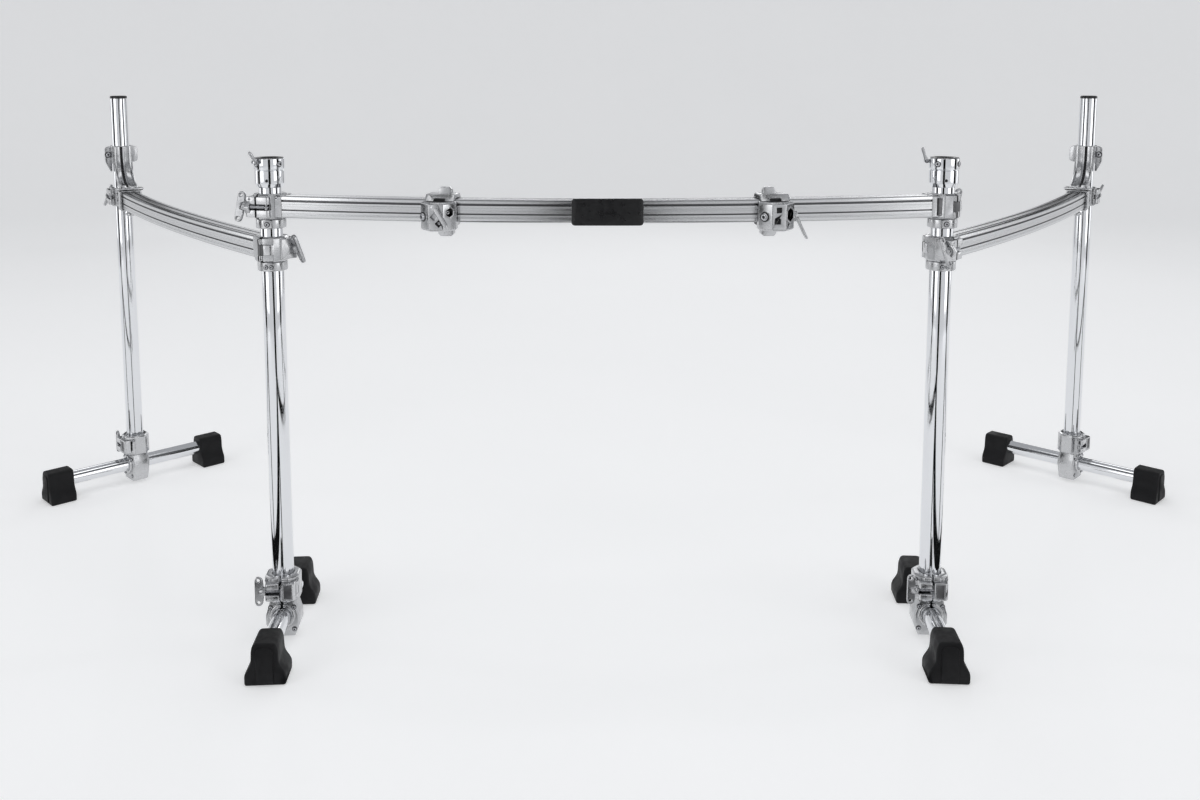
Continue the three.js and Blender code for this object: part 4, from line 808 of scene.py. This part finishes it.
# Wing bolts: die-cast wing nuts with two large eyes, fixed on threaded steel bolts. One closes each clamp.
# The casting has a six-sided foot, a domed hub and soft fillets where the wings leave it.
WING_REACH = 0.027
WING_LOW = 0.00367
WING_TALL = 0.015
WING_EYE = 0.0031
WING_THICK = 0.0056
EYE_SIDES = 64
THREAD_PITCH = 0.00125
WING_SHAPE = [
    (-0.5, 0.0), (0.45, 0.0), (0.84, 0.1), (0.97, 0.32), (1.0, 0.58), (0.96, 0.82),
    (0.86, 0.96), (0.7, 1.0), (0.3, 1.0), (-0.5, 1.0),
]
CLAMP_JAW_FACE = 0.030
CLAMP_BOLT_LINE = 0.02755
CLAMP_STEM = 0.0339
T_SEAT = 0.0261
T_BOLT_LINE = -0.02755
T_STEM = 0.0381
RAIL_ARC = {"front": 2.310, "left_wing": 4.600, "right_wing": 4.600}
RAIL_POSTS = {
    "front": ("front_left", "front_right"),
    "left_wing": ("rear_left", "front_left"),
    "right_wing": ("front_right", "rear_right"),
}
CLAMP_REACH = 0.031


def across_outline(outline, centre, turn):
    """Where a ray from the centre leaves the closed outline."""
    way = Vector((math.cos(turn), math.sin(turn)))
    best = 0
    for i, corner in enumerate(outline):
        a = Vector(corner) - centre
        b = Vector(outline[(i + 1) % len(outline)]) - centre
        side = b - a
        cross = way.x * side.y - way.y * side.x
        if abs(cross) < 1e-12:
            continue
        along = (a.x * side.y - a.y * side.x) / cross
        share = (a.x * way.y - a.y * way.x) / cross
        if along > 0 and -1e-6 <= share <= 1 + 1e-6:
            best = max(best, along)
    return centre + way * best


def wing(side):
    """One wing: an outer loop and the eye's loop, bridged, given thickness and rounded all over."""
    outline = [(x * WING_REACH * side, WING_LOW + y * WING_TALL) for x, y in WING_SHAPE]
    eye = Vector((0.76 * WING_REACH * side, WING_LOW + 0.58 * WING_TALL))
    turns = [2 * math.pi * (i + 0.5) / EYE_SIDES for i in range(EYE_SIDES)]
    outer = [across_outline(outline, eye, turn) for turn in turns]
    inner = [eye + Vector((math.cos(turn), math.sin(turn))) * WING_EYE for turn in turns]
    rim = loop_of("wing_rim", [(p.x, 0, p.y) for p in outer])
    bpy.ops.mesh.vertices_smooth(factor=0.5, repeat=2)
    hole = loop_of("wing_eye", [(p.x, 0, p.y) for p in inner])
    made = join(rim, hole)
    edit(made)
    bpy.ops.mesh.select_mode(type="EDGE")
    bpy.ops.mesh.select_all(action="SELECT")
    bpy.ops.mesh.bridge_edge_loops()
    tidy_up(made)
    modify(made, "SOLIDIFY", thickness=WING_THICK, offset=0)
    round_edges(made, 0.0013, 3)
    return made


hub_profile = [(0, 0.0036), (0.0079, 0.0036), (0.0075, 0.0062), (0.0058, 0.0110), (0, 0.0110)]
hub = turned("wing_nut", rounded(hub_profile, 0.0014, 3, sharp=(0, 4)), 40)
foot = cylinder("wing_nut_foot", 6, 0.008, 0.0046, location=(0, 0, 0.0023))
edit(foot)
pick(foot, "FACE", lambda point: abs(point.z - 0.0023) > 0.0022)
bpy.ops.mesh.inset(thickness=0.0008, depth=0.0004)
join(hub, wing(1), wing(-1), foot)
modify(hub, "REMESH", mode="VOXEL", voxel_size=0.00045, use_smooth_shade=True)
modify(hub, "SMOOTH", factor=0.5, iterations=5)
paint(hub, cast_metal)


def threaded(name, length, radius=0.004):
    """Threaded bolt from the seat down: a fine zigzag profile spun round the axis."""
    profile = [(0, 0.0006), (radius * 0.8, 0.0006)]
    for i in range(int(length / THREAD_PITCH)):
        z = -i * THREAD_PITCH
        profile += [(radius * 0.86, z), (radius, z - THREAD_PITCH / 2)]
    profile += [(radius * 0.8, -length), (0, -length)]
    bolt = turned(name, profile, 20)
    dress(bolt, bolt_steel, angle=40)
    return bolt


def post_frame(rail, end, reach):
    """Frame on the post's axis at a rail's start (0) or end (1), with X towards the rail that far away."""
    half_chord, arc = rail_chord[rail] / 2, RAIL_ARC[rail]
    slope = math.asin(half_chord / arc) - reach / arc
    corner, turn = (half_chord, math.pi + slope) if end else (-half_chord, -slope)
    return rail_frame[rail] @ Matrix.Translation((corner, 0, 0)) @ Matrix.Rotation(turn, 4, "Z")


# Each rail's frame is the middle of its chord, with X along it and the bow towards -Y
rail_frame, rail_chord, rail_centre = {}, {}, {}
for name, ends in RAIL_POSTS.items():
    low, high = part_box(name + "_rail")
    left, right = (post_place[end] for end in ends)
    along, middle = right - left, (left + right) / 2
    middle.z = (low.z + high.z) / 2
    turn = math.atan2(along.y, along.x)
    rail_frame[name] = Matrix.Translation(middle) @ Matrix.Rotation(turn, 4, "Z")
    rail_chord[name] = along.length
    rail_centre[name] = math.sqrt(RAIL_ARC[name] ** 2 - (along.length / 2) ** 2)
CLAMPS = {
    "front_left_rail": ("front", 0, False, "front_frame"),
    "front_right_rail": ("front", 1, False, "front_frame"),
    "left_wing_rear": ("left_wing", 0, False, "left_wing"),
    "left_wing_front": ("left_wing", 1, False, "left_wing"),
    "right_wing_front": ("right_wing", 0, False, "right_wing"),
    "right_wing_rear": ("right_wing", 1, True, "right_wing"),
}
clamp_home = {name: post_frame(rail, end, CLAMP_REACH) for name, (rail, end, _, _) in CLAMPS.items()}
for name, (_, _, flipped, _) in CLAMPS.items():
    if flipped:
        clamp_home[name] = clamp_home[name] @ Matrix.Rotation(math.pi, 4, "X")
wing_places = {}
on_side = Matrix.Rotation(math.radians(-90), 4, "Y")
for name, home in clamp_home.items():
    seat = Matrix.Translation((-CLAMP_JAW_FACE - 0.0003, -CLAMP_BOLT_LINE, 0)) @ on_side
    wing_places[name + "_wing_bolt"] = (home @ seat @ Matrix.Rotation(math.radians(20), 4, "Z"), CLAMP_STEM)
for name, home in foot_frame.items():
    seat = Matrix.Translation((-T_SEAT, T_BOLT_LINE, T_MIDDLE)) @ on_side
    wing_places[name + "_t_wing_bolt"] = (home @ seat, T_STEM)
for node, (home, stem) in wing_places.items():
    nut = copy_of(hub, node + "_nut")
    join(nut, threaded(node + "_thread", stem))
    put(nut, home)
    fasten(nut, node, "cast_metal", node)
bpy.data.objects.remove(hub)


# Caps: black moulded plastic plugs in the tops of the rear posts. Each has a rounded crown that lies over
# the tube's rim, and a plain plug below it inside the tube.
plastic, *_ = finish(
    "black_plastic", {"Specular IOR Level": 0.5}, tone=(40.0, (0.016, 0.016, 0.017), (0.009, 0.009, 0.01)),
    marks=(70.0, 0.26, 0.42), grain=(1800.0, 0.3), bump=(0.15, 0.0002),
)
PLUG_RADIUS = 0.0167
CROWN_TALL = 0.0057

for name in ("rear_left", "rear_right"):
    low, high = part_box(name + "_cap")
    rim, top = high.z - CROWN_TALL, high.z
    profile = [
        (0, low.z), (PLUG_RADIUS, low.z), (PLUG_RADIUS, rim), (POST_RADIUS, rim), (0.0189, top - 0.0012),
        (0.0172, top), (0, top - 0.0004),
    ]
    cap = turned(name + "_crown", rounded(profile, 0.0016, 4, sharp=(0, 6)), 64)
    dress(cap, plastic)
    put(cap, Matrix.Translation(post_place[name]))
    fasten(cap, POSTS[name], "black_plastic", name + "_cap")


# Memory locks: split rings cast in zinc that hold each clamp's height on the front posts.
# Key bolts on the front boss draw the ring shut, one at the rail's lock and two at the wing's.
LOCK_RADIUS = 0.0254
LOCK_BORE = 0.0194
LOCK_GAP = 0.18
LOCK_KEYS = {"rail": (0.0038, (-0.0001,)), "wing": (0.0031, (-0.0045, 0.0045))}
for name in ("front_left", "front_right"):
    for which, (key_radius, key_places) in LOCK_KEYS.items():
        node = f"{name}_{which}_lock"
        low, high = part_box(node)
        middle, tall = (low.z + high.z) / 2, (high.z - low.z) / 2
        profile = [(LOCK_BORE, -tall), (LOCK_RADIUS, -tall), (LOCK_RADIUS, tall), (LOCK_BORE, tall)]
        x, y = math.sin(LOCK_GAP / 2), math.cos(LOCK_GAP / 2)
        ring = loop_of(node + "_ring", [(r * x, r * y, z) for r, z in rounded(profile, 0.0018, 3)])
        bpy.ops.mesh.edge_face_add()
        bpy.ops.mesh.spin(steps=60, angle=2 * math.pi - LOCK_GAP, center=(0, 0, 0), axis=(0, 0, 1))
        tidy_up(ring)
        dress(ring, cast_metal)
        outline = rounded(oblong(0.008, 0.0062), 0.002, 3)
        boss = slab(node + "_boss", [(x, -0.0236, z) for x, z in outline], (0, -0.0024, 0))
        dress(boss, cast_metal, 0.0007)
        places = [facing((x, -0.0260, 0), FORWARD) for x in key_places]
        join(ring, boss, *[key_bolt(node + "_key", key_radius, 0.0024, place) for place in places])
        put(ring, Matrix.Translation(post_place[name] + Vector((0, 0, middle))))
        fasten(ring, "front_frame", "cast_metal", node)


# Rail clamps: eight-sided zinc castings that grip a post and hold a rail's end on a square spigot.
# At the front posts a hinged jaw closes them; an eyebolt lies in the front slot under the wing nut.
def on_slant(p):
    """The sunk panel in the clamp's slanting face, past the rail's end."""
    seen = Matrix.Rotation(math.radians(-45), 4, "Z") @ p
    return abs(seen.y) < 0.0055 and abs(seen.z) < 0.0142 and 0.0243 < seen.x < 0.0258


def in_split(p):
    """The two faces of the gap between a clamp and its jaw."""
    return -0.0116 < p.x < -0.0078


for name, (_, _, _, body) in CLAMPS.items():
    home = clamp_home[name]
    split = name + "_clamp_jaw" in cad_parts
    clamp = casting(name + "_clamp", 0.0009)
    paint_where(clamp, shaded_panel, on_slant, home)
    # Painted shade: the faces of the split between clamp and jaw are painted dark.
    if split:
        paint_where(clamp, painted_shade, in_split, home)
    clean_slate()
    bpy.ops.mesh.primitive_torus_add(
        major_segments=28, minor_segments=12, major_radius=0.0036, minor_radius=0.0013
    )
    eye = bpy.context.object
    eye.name = name + "_eye"
    dress(eye, bolt_steel, angle=60)
    put(eye, home @ Matrix.Translation((0.0069, -CLAMP_BOLT_LINE, 0)))
    key = key_bolt(name + "_key", 0.0033, 0.0022, home @ facing((0.0226, -0.0196, 0.0148), FORWARD))
    join(clamp, eye, key)
    fasten(clamp, body, "cast_metal", name + "_clamp")
    if split:
        jaw = casting(name + "_clamp_jaw", 0.0009)
        # Painted shade: the jaw's faces at the split are painted dark.
        paint_where(jaw, painted_shade, in_split, home)
        paint_where(jaw, shaded_panel, lambda p: p.y > 0.0235 and abs(p.z) < 0.0088, home)
        boss = cylinder(name + "_boss", 6, 0.0122, 0.0095, rotation=(0, math.radians(90), 0))
        edit(boss)
        pick(boss, "FACE", lambda point: abs(point.x) > 0.0047)
        bpy.ops.mesh.inset(thickness=0.0059, depth=0)
        bpy.ops.mesh.bridge_edge_loops()
        clean_slate()
        round_edges(boss, 0.0010, 3, 40)
        dress(boss, cast_metal)
        put(boss, home @ Matrix.Translation((-0.0250, -CLAMP_BOLT_LINE, 0)))
        pin = key_bolt(name + "_pin", 0.0019, 0.0010, home @ facing((-0.0215, -0.0335, 0.0140), FORWARD))
        join(jaw, boss, pin)
        fasten(jaw, body, "cast_metal", name + "_clamp_jaw")


# Rails: square aluminium extrusions of 38.1 mm, anodised satin, each rolled to a bow of its own. Grooves run
# along both sides and along the top and bottom, and fine drawing lines follow the bend.
RAIL_HALF = 0.01905
RAIL_WALL = 0.0045
RAIL_END = CLAMP_REACH + 0.0003


def rail_section():
    """Outline of the extrusion as [outward, up] points, from the lower outer corner round."""
    h = RAIL_HALF
    side = [
        (h, -0.0160),
        (h, -0.0128), (h - 0.0004, -0.0125), (h - 0.0004, -0.0119), (h, -0.0116),
        (h, -0.0108), (h - 0.0004, -0.0105), (h - 0.0004, -0.0099), (h, -0.0096),
        (h, -0.0062), (h - 0.0024, -0.0056), (h - 0.0024, -0.0044), (h - 0.0004, -0.0038),
        (h - 0.0004, 0.0052), (h, 0.0056),
        (h, 0.0090), (h - 0.0026, 0.0098), (h - 0.0026, 0.0120), (h, 0.0128),
        (h, 0.0160),
    ]
    corner = [(h - 0.0009, 0.0181), (h - 0.0030, h)]
    top = []
    for x in (0.0076, -0.0076):
        top += [(x + 0.0034, h), (x + 0.0028, h - 0.0024), (x - 0.0028, h - 0.0024), (x - 0.0034, h)]
    upper = side + corner + top + [(-x, y) for x, y in reversed(corner)]
    other = [(-x, y) for x, y in reversed(side)]
    lower_corner = [(-(h - 0.0009), -0.0181), (-(h - 0.0030), -h)]
    bottom = [(x, -y) for x, y in reversed(top)]
    return upper + other + lower_corner + bottom + [(-x, y) for x, y in reversed(lower_corner)]


section = rail_section()
bore = RAIL_HALF - RAIL_WALL
inner = [(x * bore / max(abs(x), abs(y)), y * bore / max(abs(x), abs(y))) for x, y in section]
satin = {}
for name in rail_frame:
    arc, bow_centre = RAIL_ARC[name], rail_centre[name]
    centre = rail_frame[name] @ Vector((0, bow_centre, 0))
    material, tree, shader = new_material(name + "_satin_aluminium", {"Metallic": 1.0})
    place = add_node(tree, "TexCoord").outputs["Object"]
    shift = add_node(tree, "Mapping", {"Location": (-centre.x, -centre.y, 0)}, {"Vector": place})
    parts = add_node(tree, "SeparateXYZ", links={0: shift.outputs["Vector"]}).outputs
    flat = reckon(tree, "MULTIPLY", shift.outputs["Vector"], (1, 1, 0), kind="VectorMath")
    away = add_node(tree, "VectorMath", links={0: flat}, operation="LENGTH").outputs["Value"]
    along = reckon(tree, "MULTIPLY", reckon(tree, "ARCTAN2", parts["X"], parts["Y"]), 1.6)
    line = add_node(tree, "CombineXYZ", links={"X": away, "Y": parts["Z"], "Z": along}).outputs["Vector"]
    # The bend's own length is drawn out, so that noise turns into lines along the rail
    drawn = reckon(tree, "MULTIPLY", line, (1, 1, 0.004), kind="VectorMath")
    tone = coat(
        tree, shader, drawn, tone=(260.0, (0.72, 0.725, 0.735), (0.58, 0.585, 0.595)),
        marks=(340.0, 0.2, 0.34), grain=(900.0, 0.5), bump=(0.16, 0.0002),
    )
    # How far a point lies below the square outside: the grooves are painted dark, as painted shade in them
    outward = reckon(tree, "ABSOLUTE", reckon(tree, "SUBTRACT", away, arc))
    upward = reckon(tree, "ABSOLUTE", reckon(tree, "SUBTRACT", parts["Z"], rail_frame[name].translation.z))
    ends = {1: RAIL_HALF - 0.0003, 2: RAIL_HALF - 0.0016, 3: 0.0, 4: 0.9}
    groove_shade = add_node(tree, "MapRange", ends, {"Value": reckon(tree, "MAXIMUM", outward, upward)})
    cover(tree, shader, tone, (0.06, 0.06, 0.065), groove_shade.outputs["Result"])
    satin[name] = material

    half_turn = math.asin(rail_chord[name] / 2 / arc) - RAIL_END / arc

    def at_start(out, up):
        reach = arc + out
        return (-reach * math.sin(half_turn), bow_centre - reach * math.cos(half_turn), up)

    def at_end(point):
        turn = math.atan2(point.x, bow_centre - point.y)
        return abs(turn - sign * half_turn) < 1e-5

    outer_loop = loop_of(name + "_extrusion", [at_start(x, y) for x, y in section])
    inner_loop = loop_of(name + "_bore", [at_start(x, y) for x, y in inner])
    rail = join(outer_loop, inner_loop)
    edit(rail, "SELECT")
    bpy.ops.mesh.spin(steps=72, angle=-2 * half_turn, center=(0, bow_centre, 0), axis=(0, 0, 1))
    for sign in (-1, 1):
        pick(rail, "EDGE", at_end)
        bpy.ops.mesh.bridge_edge_loops()
    tidy_up(rail)
    dress(rail, material, angle=28)
    put(rail, rail_frame[name])
    fasten(rail, "front_frame" if name == "front" else name, "satin_aluminium", name + "_rail")


# Badge plate: an aluminium plate with round corners, bent to the outer face of the front rail.
# It is painted black, and its narrow rim is left bright.
BADGE_WIDE = 0.118
BADGE_TALL = 0.045
BADGE_THICK = 0.0024
BADGE_PARTS = 12
badge_outline = rounded(oblong(BADGE_WIDE / 2, BADGE_TALL / 2), 0.0065, 6)
badge = slab("badge_plate_bare", [(x, 0, z) for x, z in badge_outline], (0, -BADGE_THICK, 0))
edit(badge)
for i in range(1, BADGE_PARTS):
    bpy.ops.mesh.select_all(action="SELECT")
    bpy.ops.mesh.bisect(plane_co=(BADGE_WIDE * (i / BADGE_PARTS - 0.5), 0, 0), plane_no=(1, 0, 0))
clean_slate()
paint(badge, plastic)
paint_where(badge, satin["front"], lambda p: -BADGE_THICK * 0.96 < p.y)
round_edges(badge, 0.0006)
# The plate is first drawn wider, because it lies outside the rail's middle, and then bent round the rail
PLATE_GAP = 0.0003
arc = RAIL_ARC["front"]
bend = arc + RAIL_HALF + PLATE_GAP
put(badge, Matrix.Diagonal((bend / arc, 1, 1, 1)))
modify(badge, "SIMPLE_DEFORM", deform_method="BEND", deform_axis="Z", angle=BADGE_WIDE / arc)
shade(badge)
put(badge, rail_frame["front"] @ Matrix.Translation((0, rail_centre["front"] - bend, 0)))
fasten(badge, "front_frame", "black_plastic", "badge_plate")


# Stand cups: chromed sockets on the tops of the front posts for the stems of accessory arms.
# The upper band is split and closed by key bolts, a black bush lines the mouth, and a small lever locks it.
CUP_BORE = 0.01955
CUP_SIDES = 72
CUP_TURN = {"front_left": math.radians(62), "front_right": 0.0}
HOLE_TURN = {"front_left": -86.7, "front_right": -96.6}
cup_profile = [
    (CUP_BORE, 0.0), (0.0222, 0.0), (0.0247, 0.0070), (0.0247, 0.0288), (0.0239, 0.0296), (0.0239, 0.0304),
    (0.0256, 0.0312), (0.0256, 0.0494), (0.0250, 0.0500), (0.0231, 0.0500), (0.0231, 0.0203),
    (CUP_BORE, 0.0203),
]
bush_profile = [
    (0.0152, 0.0204), (0.0230, 0.0204), (0.0230, 0.0495), (0.0243, 0.0497), (0.0243, 0.0510),
    (0.0160, 0.0510), (0.0152, 0.0500),
]
lug_outline = [(-0.0200, 0.0405), (-0.0336, 0.0405), (-0.0336, 0.0475), (-0.0200, 0.0475)]


def round_the_cup(degrees, radius, height):
    """Frame on the cup's wall, looking straight out."""
    way = Vector((math.cos(math.radians(degrees)), math.sin(math.radians(degrees)), 0))
    return facing(way * radius + Vector((0, 0, height)), way)


for name in ("front_left", "front_right"):
    low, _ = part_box(name + "_cup")
    cup = turned(name + "_cup_sleeve", rounded(cup_profile, 0.0006, 3), CUP_SIDES)
    dress(cup, chrome)
    bush = turned(name + "_cup_bush", rounded(bush_profile, 0.0006, 3), CUP_SIDES)
    dress(bush, plastic)
    ring = [(0.0030 * math.cos(i * math.pi / 12), 0.0030 * math.sin(i * math.pi / 12)) for i in range(24)]
    # Painted shade: the hole in the cup's wall is a shallow hollow in a raised rim, its floor painted dark as
    # the shade of a hole.
    hole_place = round_the_cup(HOLE_TURN[name], 0.0247, 0.0125)
    hole = framed_hollow(name + "_cup_hole", ring, 0.0005, 0.0003, hole_place, 0.0002)
    key_places = [round_the_cup(degrees, 0.0254, 0.0405) for degrees in (-131, -35)]
    keys = [key_bolt(name + "_cup_key", 0.0042, 0.0026, place) for place in key_places]
    lever_turn = Matrix.Rotation(CUP_TURN[name], 4, "Z")
    lug_points = [(x, 0.0024, z) for x, z in rounded(lug_outline, 0.0030, 5)]
    lug = slab(name + "_cup_lug", lug_points, (0, 0.0072, 0))
    dress(lug, chrome, 0.0006)
    put(lug, lever_turn)
    pin_place = lever_turn @ facing((-0.03065, -0.0019, 0.0440), FORWARD)
    pin = key_bolt(name + "_cup_pin", 0.0021, 0.0014, pin_place)
    join(cup, bush, hole, *keys, lug, pin)
    put(cup, Matrix.Translation(post_place[name] + Vector((0, 0, low.z))))
    fasten(cup, "front_frame", "chrome", name + "_cup")
    lever = casting(name + "_cup_lever", 0.0008)
    fasten(lever, name + "_cup_lever", "cast_metal", name + "_cup_lever")


# Curved arms: zinc castings that brace each rear post. The collar is split between two ears, the arm sweeps
# down and forward with a wide groove, and its band slides on the wing rail over a hand screw.
COLLAR_RISE = 0.101
COLLAR_TALL = 0.042
ARM_REACH = 0.097
ARM_THICK = 0.013
ARM_WIDE = 0.040
BAND_INNER = 0.0381 + 0.0018
BAND_WALL = 0.0045
BAND_LENGTH = 0.027
KNOB_TALL = 0.012
low, top = COLLAR_RISE - COLLAR_TALL / 2, COLLAR_RISE + COLLAR_TALL / 2
start = POST_RADIUS + ARM_THICK / 2
radius = ARM_REACH - start
half = BAND_INNER / 2 + BAND_WALL
band_top = BAND_INNER / 2 + BAND_WALL / 2 + ARM_THICK / 2
t, w = ARM_THICK / 2, ARM_WIDE / 2
collar_profile = [(0.01955, low), (0.02405, low), (0.02405, top), (0.01955, top)]
arm_section = [
    (t, -0.0165), (t, -0.0076), (t - 0.0048, -0.0056), (t - 0.0048, -0.0030), (t, -0.0012),
    (t - 0.0030, 0.0030), (t - 0.0030, 0.0130), (t, 0.0165), (t - 0.0034, w), (-t, w), (-t, -w),
    (t - 0.0034, -w),
]
knob_profile = [
    (0, -half - KNOB_TALL), (0.0086, -half - KNOB_TALL), (0.011, -half - 0.0098), (0.011, -half - 0.0062),
    (0.0088, -half - 0.004), (0.005, -half - 0.0038), (0.005, -half + 0.002), (0, -half + 0.002),
]

for side, end, outer in (("left", 0, -1), ("right", 1, 1)):
    collar = turned(side + "_arm_casting", rounded(collar_profile, 0.0012, 3), 64)
    dress(collar, cast_metal)
    parts = []
    for way in (-1, 1):
        ear_outline = [(0.0215, low), (0.0365, low + 0.004), (0.0365, top - 0.004), (0.0215, top)]
        if way == outer:
            ear_outline[0:1] = [(0.0215, low - 0.018), (0.0250, low - 0.020)]
        ear_points = [(-0.004, way * y, z) for y, z in rounded(ear_outline, 0.006, 5)]
        ear = slab(side + "_arm_ear", ear_points, (0.008, 0, 0))
        dress(ear, cast_metal, 0.0011, 3)
        parts.append(ear)

    section = arm_section if outer == -1 else [(x, -y) for x, y in reversed(arm_section)]
    section = rounded(section, 0.0014, 3)
    arm = loop_of(side + "_arm_sweep", [(start + x, y, top - 0.0004) for x, y in section])
    draw_out(0, 0, band_top + radius - top + 0.0004)
    middle = (start + radius, 0, band_top + radius)
    bpy.ops.mesh.spin(steps=28, angle=math.radians(90), center=middle, axis=(0, 1, 0))
    pick(arm, "EDGE", lambda p: p.z > top - 0.001)
    bpy.ops.mesh.edge_face_add()
    pick(arm, "EDGE", lambda p: abs(p.x - start - radius) < 1e-5)
    bpy.ops.mesh.edge_face_add()
    tidy_up(arm)
    paint(arm, cast_metal)

    def in_groove(point):
        reach = (Vector((point.x, point.z)) - Vector((start + radius, band_top + radius))).length
        depth = radius - reach if point.z < band_top + radius else point.x - start
        return 0.0028 < outer * point.y < 0.0060 and depth < t - 0.0030 and depth > 0

    # Painted shade: the floor and walls of the arm's groove are painted dark.
    paint_where(arm, painted_shade, in_groove)
    round_edges(arm, 0.0009, 2, 60)
    shade(arm)
    parts.append(arm)

    band_outline = rounded(oblong(half, half), 0.0075, 5)
    band = loop_of(side + "_arm_band", [(ARM_REACH - BAND_LENGTH / 2, y, z) for y, z in band_outline])
    draw_out(BAND_LENGTH, 0, 0)
    tidy_up(band)
    modify(band, "SOLIDIFY", thickness=BAND_WALL - 0.0002, offset=-1, use_even_offset=True)
    tidy_up(band)
    dress(band, cast_metal, 0.0012, 3)
    parts.append(band)
    knob = turned(side + "_arm_knob", rounded(knob_profile, 0.0012, 3, sharp=(0, 7)), 40)
    dress(knob, cast_metal)
    put(knob, Matrix.Translation((ARM_REACH, 0, 0)))
    parts.append(knob)

    plate_outline = rounded(oblong(0.0165, 0.030), 0.008, 5)
    # The lower plate, a little smaller and painted dark, is painted shade: it stands for the shaded slot
    # between the upper plate and the band.
    upper = (half + 0.0012, half + 0.0042, 1.0, cast_metal)
    lower = (half - 0.001, half + 0.0014, 0.93, painted_shade)
    for low_z, high_z, share, look in (upper, lower):
        plate_points = [(ARM_REACH + x * share, y * share, low_z) for x, y in plate_outline]
        plate = slab(side + "_band_plate", plate_points, (0, 0, high_z - low_z))
        dress(plate, look, 0.0007)
        parts.append(plate)
    key_place = facing((0.0038, outer * 0.0296, COLLAR_RISE), (1, 0, 0))
    parts.append(key_bolt(side + "_ear_key", 0.0056, 0.004, key_place))
    for y in (-0.0145, 0.0145):
        key_place = facing((ARM_REACH + 0.009, y, half + 0.0041), (0, 0, 1))
        parts.append(key_bolt(side + "_band_key", 0.0031, 0.0022, key_place))
    join(collar, *parts)
    put(collar, post_frame(side + "_wing", end, ARM_REACH / 2))
    fasten(collar, side + "_wing", "cast_metal", side + "_arm")


# Accessory clamps: zinc castings round the front rail that hold further arms. The shell has a window and two
# tabs; the housing has a large bolt, a framed six-sided socket and pockets, and a lever locks it.
ACCESSORY_OFF = 0.275
HOUSING_FACE = -0.01905 - 0.0008 - 0.0003 - 0.030
SOCKETS = {"left": (0.0072, 0.0067), "right": (0.0115, 0.0029)}
POCKETS = {"left": [(0.0048, -0.0106)], "right": [(0.0, 0.0115), (-0.0018, -0.0072)]}


def in_window(p):
    """The floor and walls of the window in the shell's upper front edge."""
    return abs(p.x) < 0.0097 and -0.0302 < p.y < -0.0220 and 0.0111 < p.z < 0.0200


for side, lean in (("left", -1), ("right", 1)):
    clamp = casting(side + "_accessory_clamp", 0.0010)
    turn = Matrix.Rotation(math.asin(lean * ACCESSORY_OFF / arc), 4, "Z")
    bow_centre = Matrix.Translation((0, rail_centre["front"], 0))
    home = rail_frame["front"] @ bow_centre @ turn @ Matrix.Translation((0, -arc, 0))
    socket_radius, socket_rise = SOCKETS[side]
    socket = Vector((0.021, HOUSING_FACE + 0.009, socket_rise - 0.007))
    into = Vector((-1, 1, 0)).normalized()

    def in_socket(point):
        depth = (point - socket).dot(into)
        return depth > 0.0006 and (point - socket - into * depth).length < socket_radius + 0.0004

    def on_floor(point):
        beside, off = abs(point.x - centre.x) + abs(point.z - centre.z), abs(point.y - centre.y)
        return beside < 0.0085 and off < 0.0007

    # Painted shade: the six-sided socket, the floors of the pockets and the window are painted dark.
    paint_where(clamp, painted_shade, in_socket, home)
    for across, up in POCKETS[side]:
        centre = Vector((across, HOUSING_FACE + 0.004, up - 0.007))
        paint_where(clamp, painted_shade, on_floor, home)
    paint_where(clamp, painted_shade, in_window, home)
    facet = Vector((-0.021, HOUSING_FACE + 0.009, -0.007))
    way = Vector((-1, -1, 0)).normalized()
    parts = [
        key_bolt(side + "_clamp_bolt", 0.0062, 0.0042, home @ facing(facet + way * 0.0029, way)),
        key_bolt(side + "_socket_nut", 0.0040, 0.0040, home @ facing(socket + into * 0.0089, -into)),
        key_bolt(side + "_window_bolt", 0.0032, 0.0026, home @ facing((0, -0.0255, 0.0113), (0, -0.7, 1))),
    ]
    if side == "left":
        pin_place = home @ facing((0.0048, HOUSING_FACE + 0.0039, -0.0176), FORWARD)
        parts.append(key_bolt("left_clamp_pin", 0.0024, 0.0024, pin_place))
        upper, lower = Vector((-0.0009, 0.0042)), Vector((0.0085, -0.0114))
        along = (lower - upper).normalized()
        beside = Vector((-along.y, along.x)) * 0.0028
        corners = [upper - beside, lower - beside, lower + beside, upper + beside]
        strap_points = [(x, HOUSING_FACE + 0.001, z) for x, z in rounded(corners, 0.0012, 3)]
        strap = slab("left_clamp_strap", strap_points, (0, -0.0022, 0))
        dress(strap, bolt_steel, 0.0006)
        put(strap, home)
        # Painted shade: a small dark disc on the housing's face stands for the shade in a hole.
        dot = turned("left_clamp_hole", [(0, -0.001), (0.0013, -0.001), (0.0013, 0.0002), (0, 0.0002)], 24)
        paint(dot, painted_shade)
        put(dot, home @ facing((-0.0042, HOUSING_FACE, 0.0062), FORWARD))
        parts += [strap, dot]
    join(clamp, *parts)
    fasten(clamp, side + "_accessory", "cast_metal", side + "_accessory_clamp")
    lever = casting(side + "_accessory_lever", 0.0009)
    fasten(lever, side + "_accessory_lever", "cast_metal", side + "_accessory_lever")


# The dressed part's own box, the backdrop left out
low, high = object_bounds()
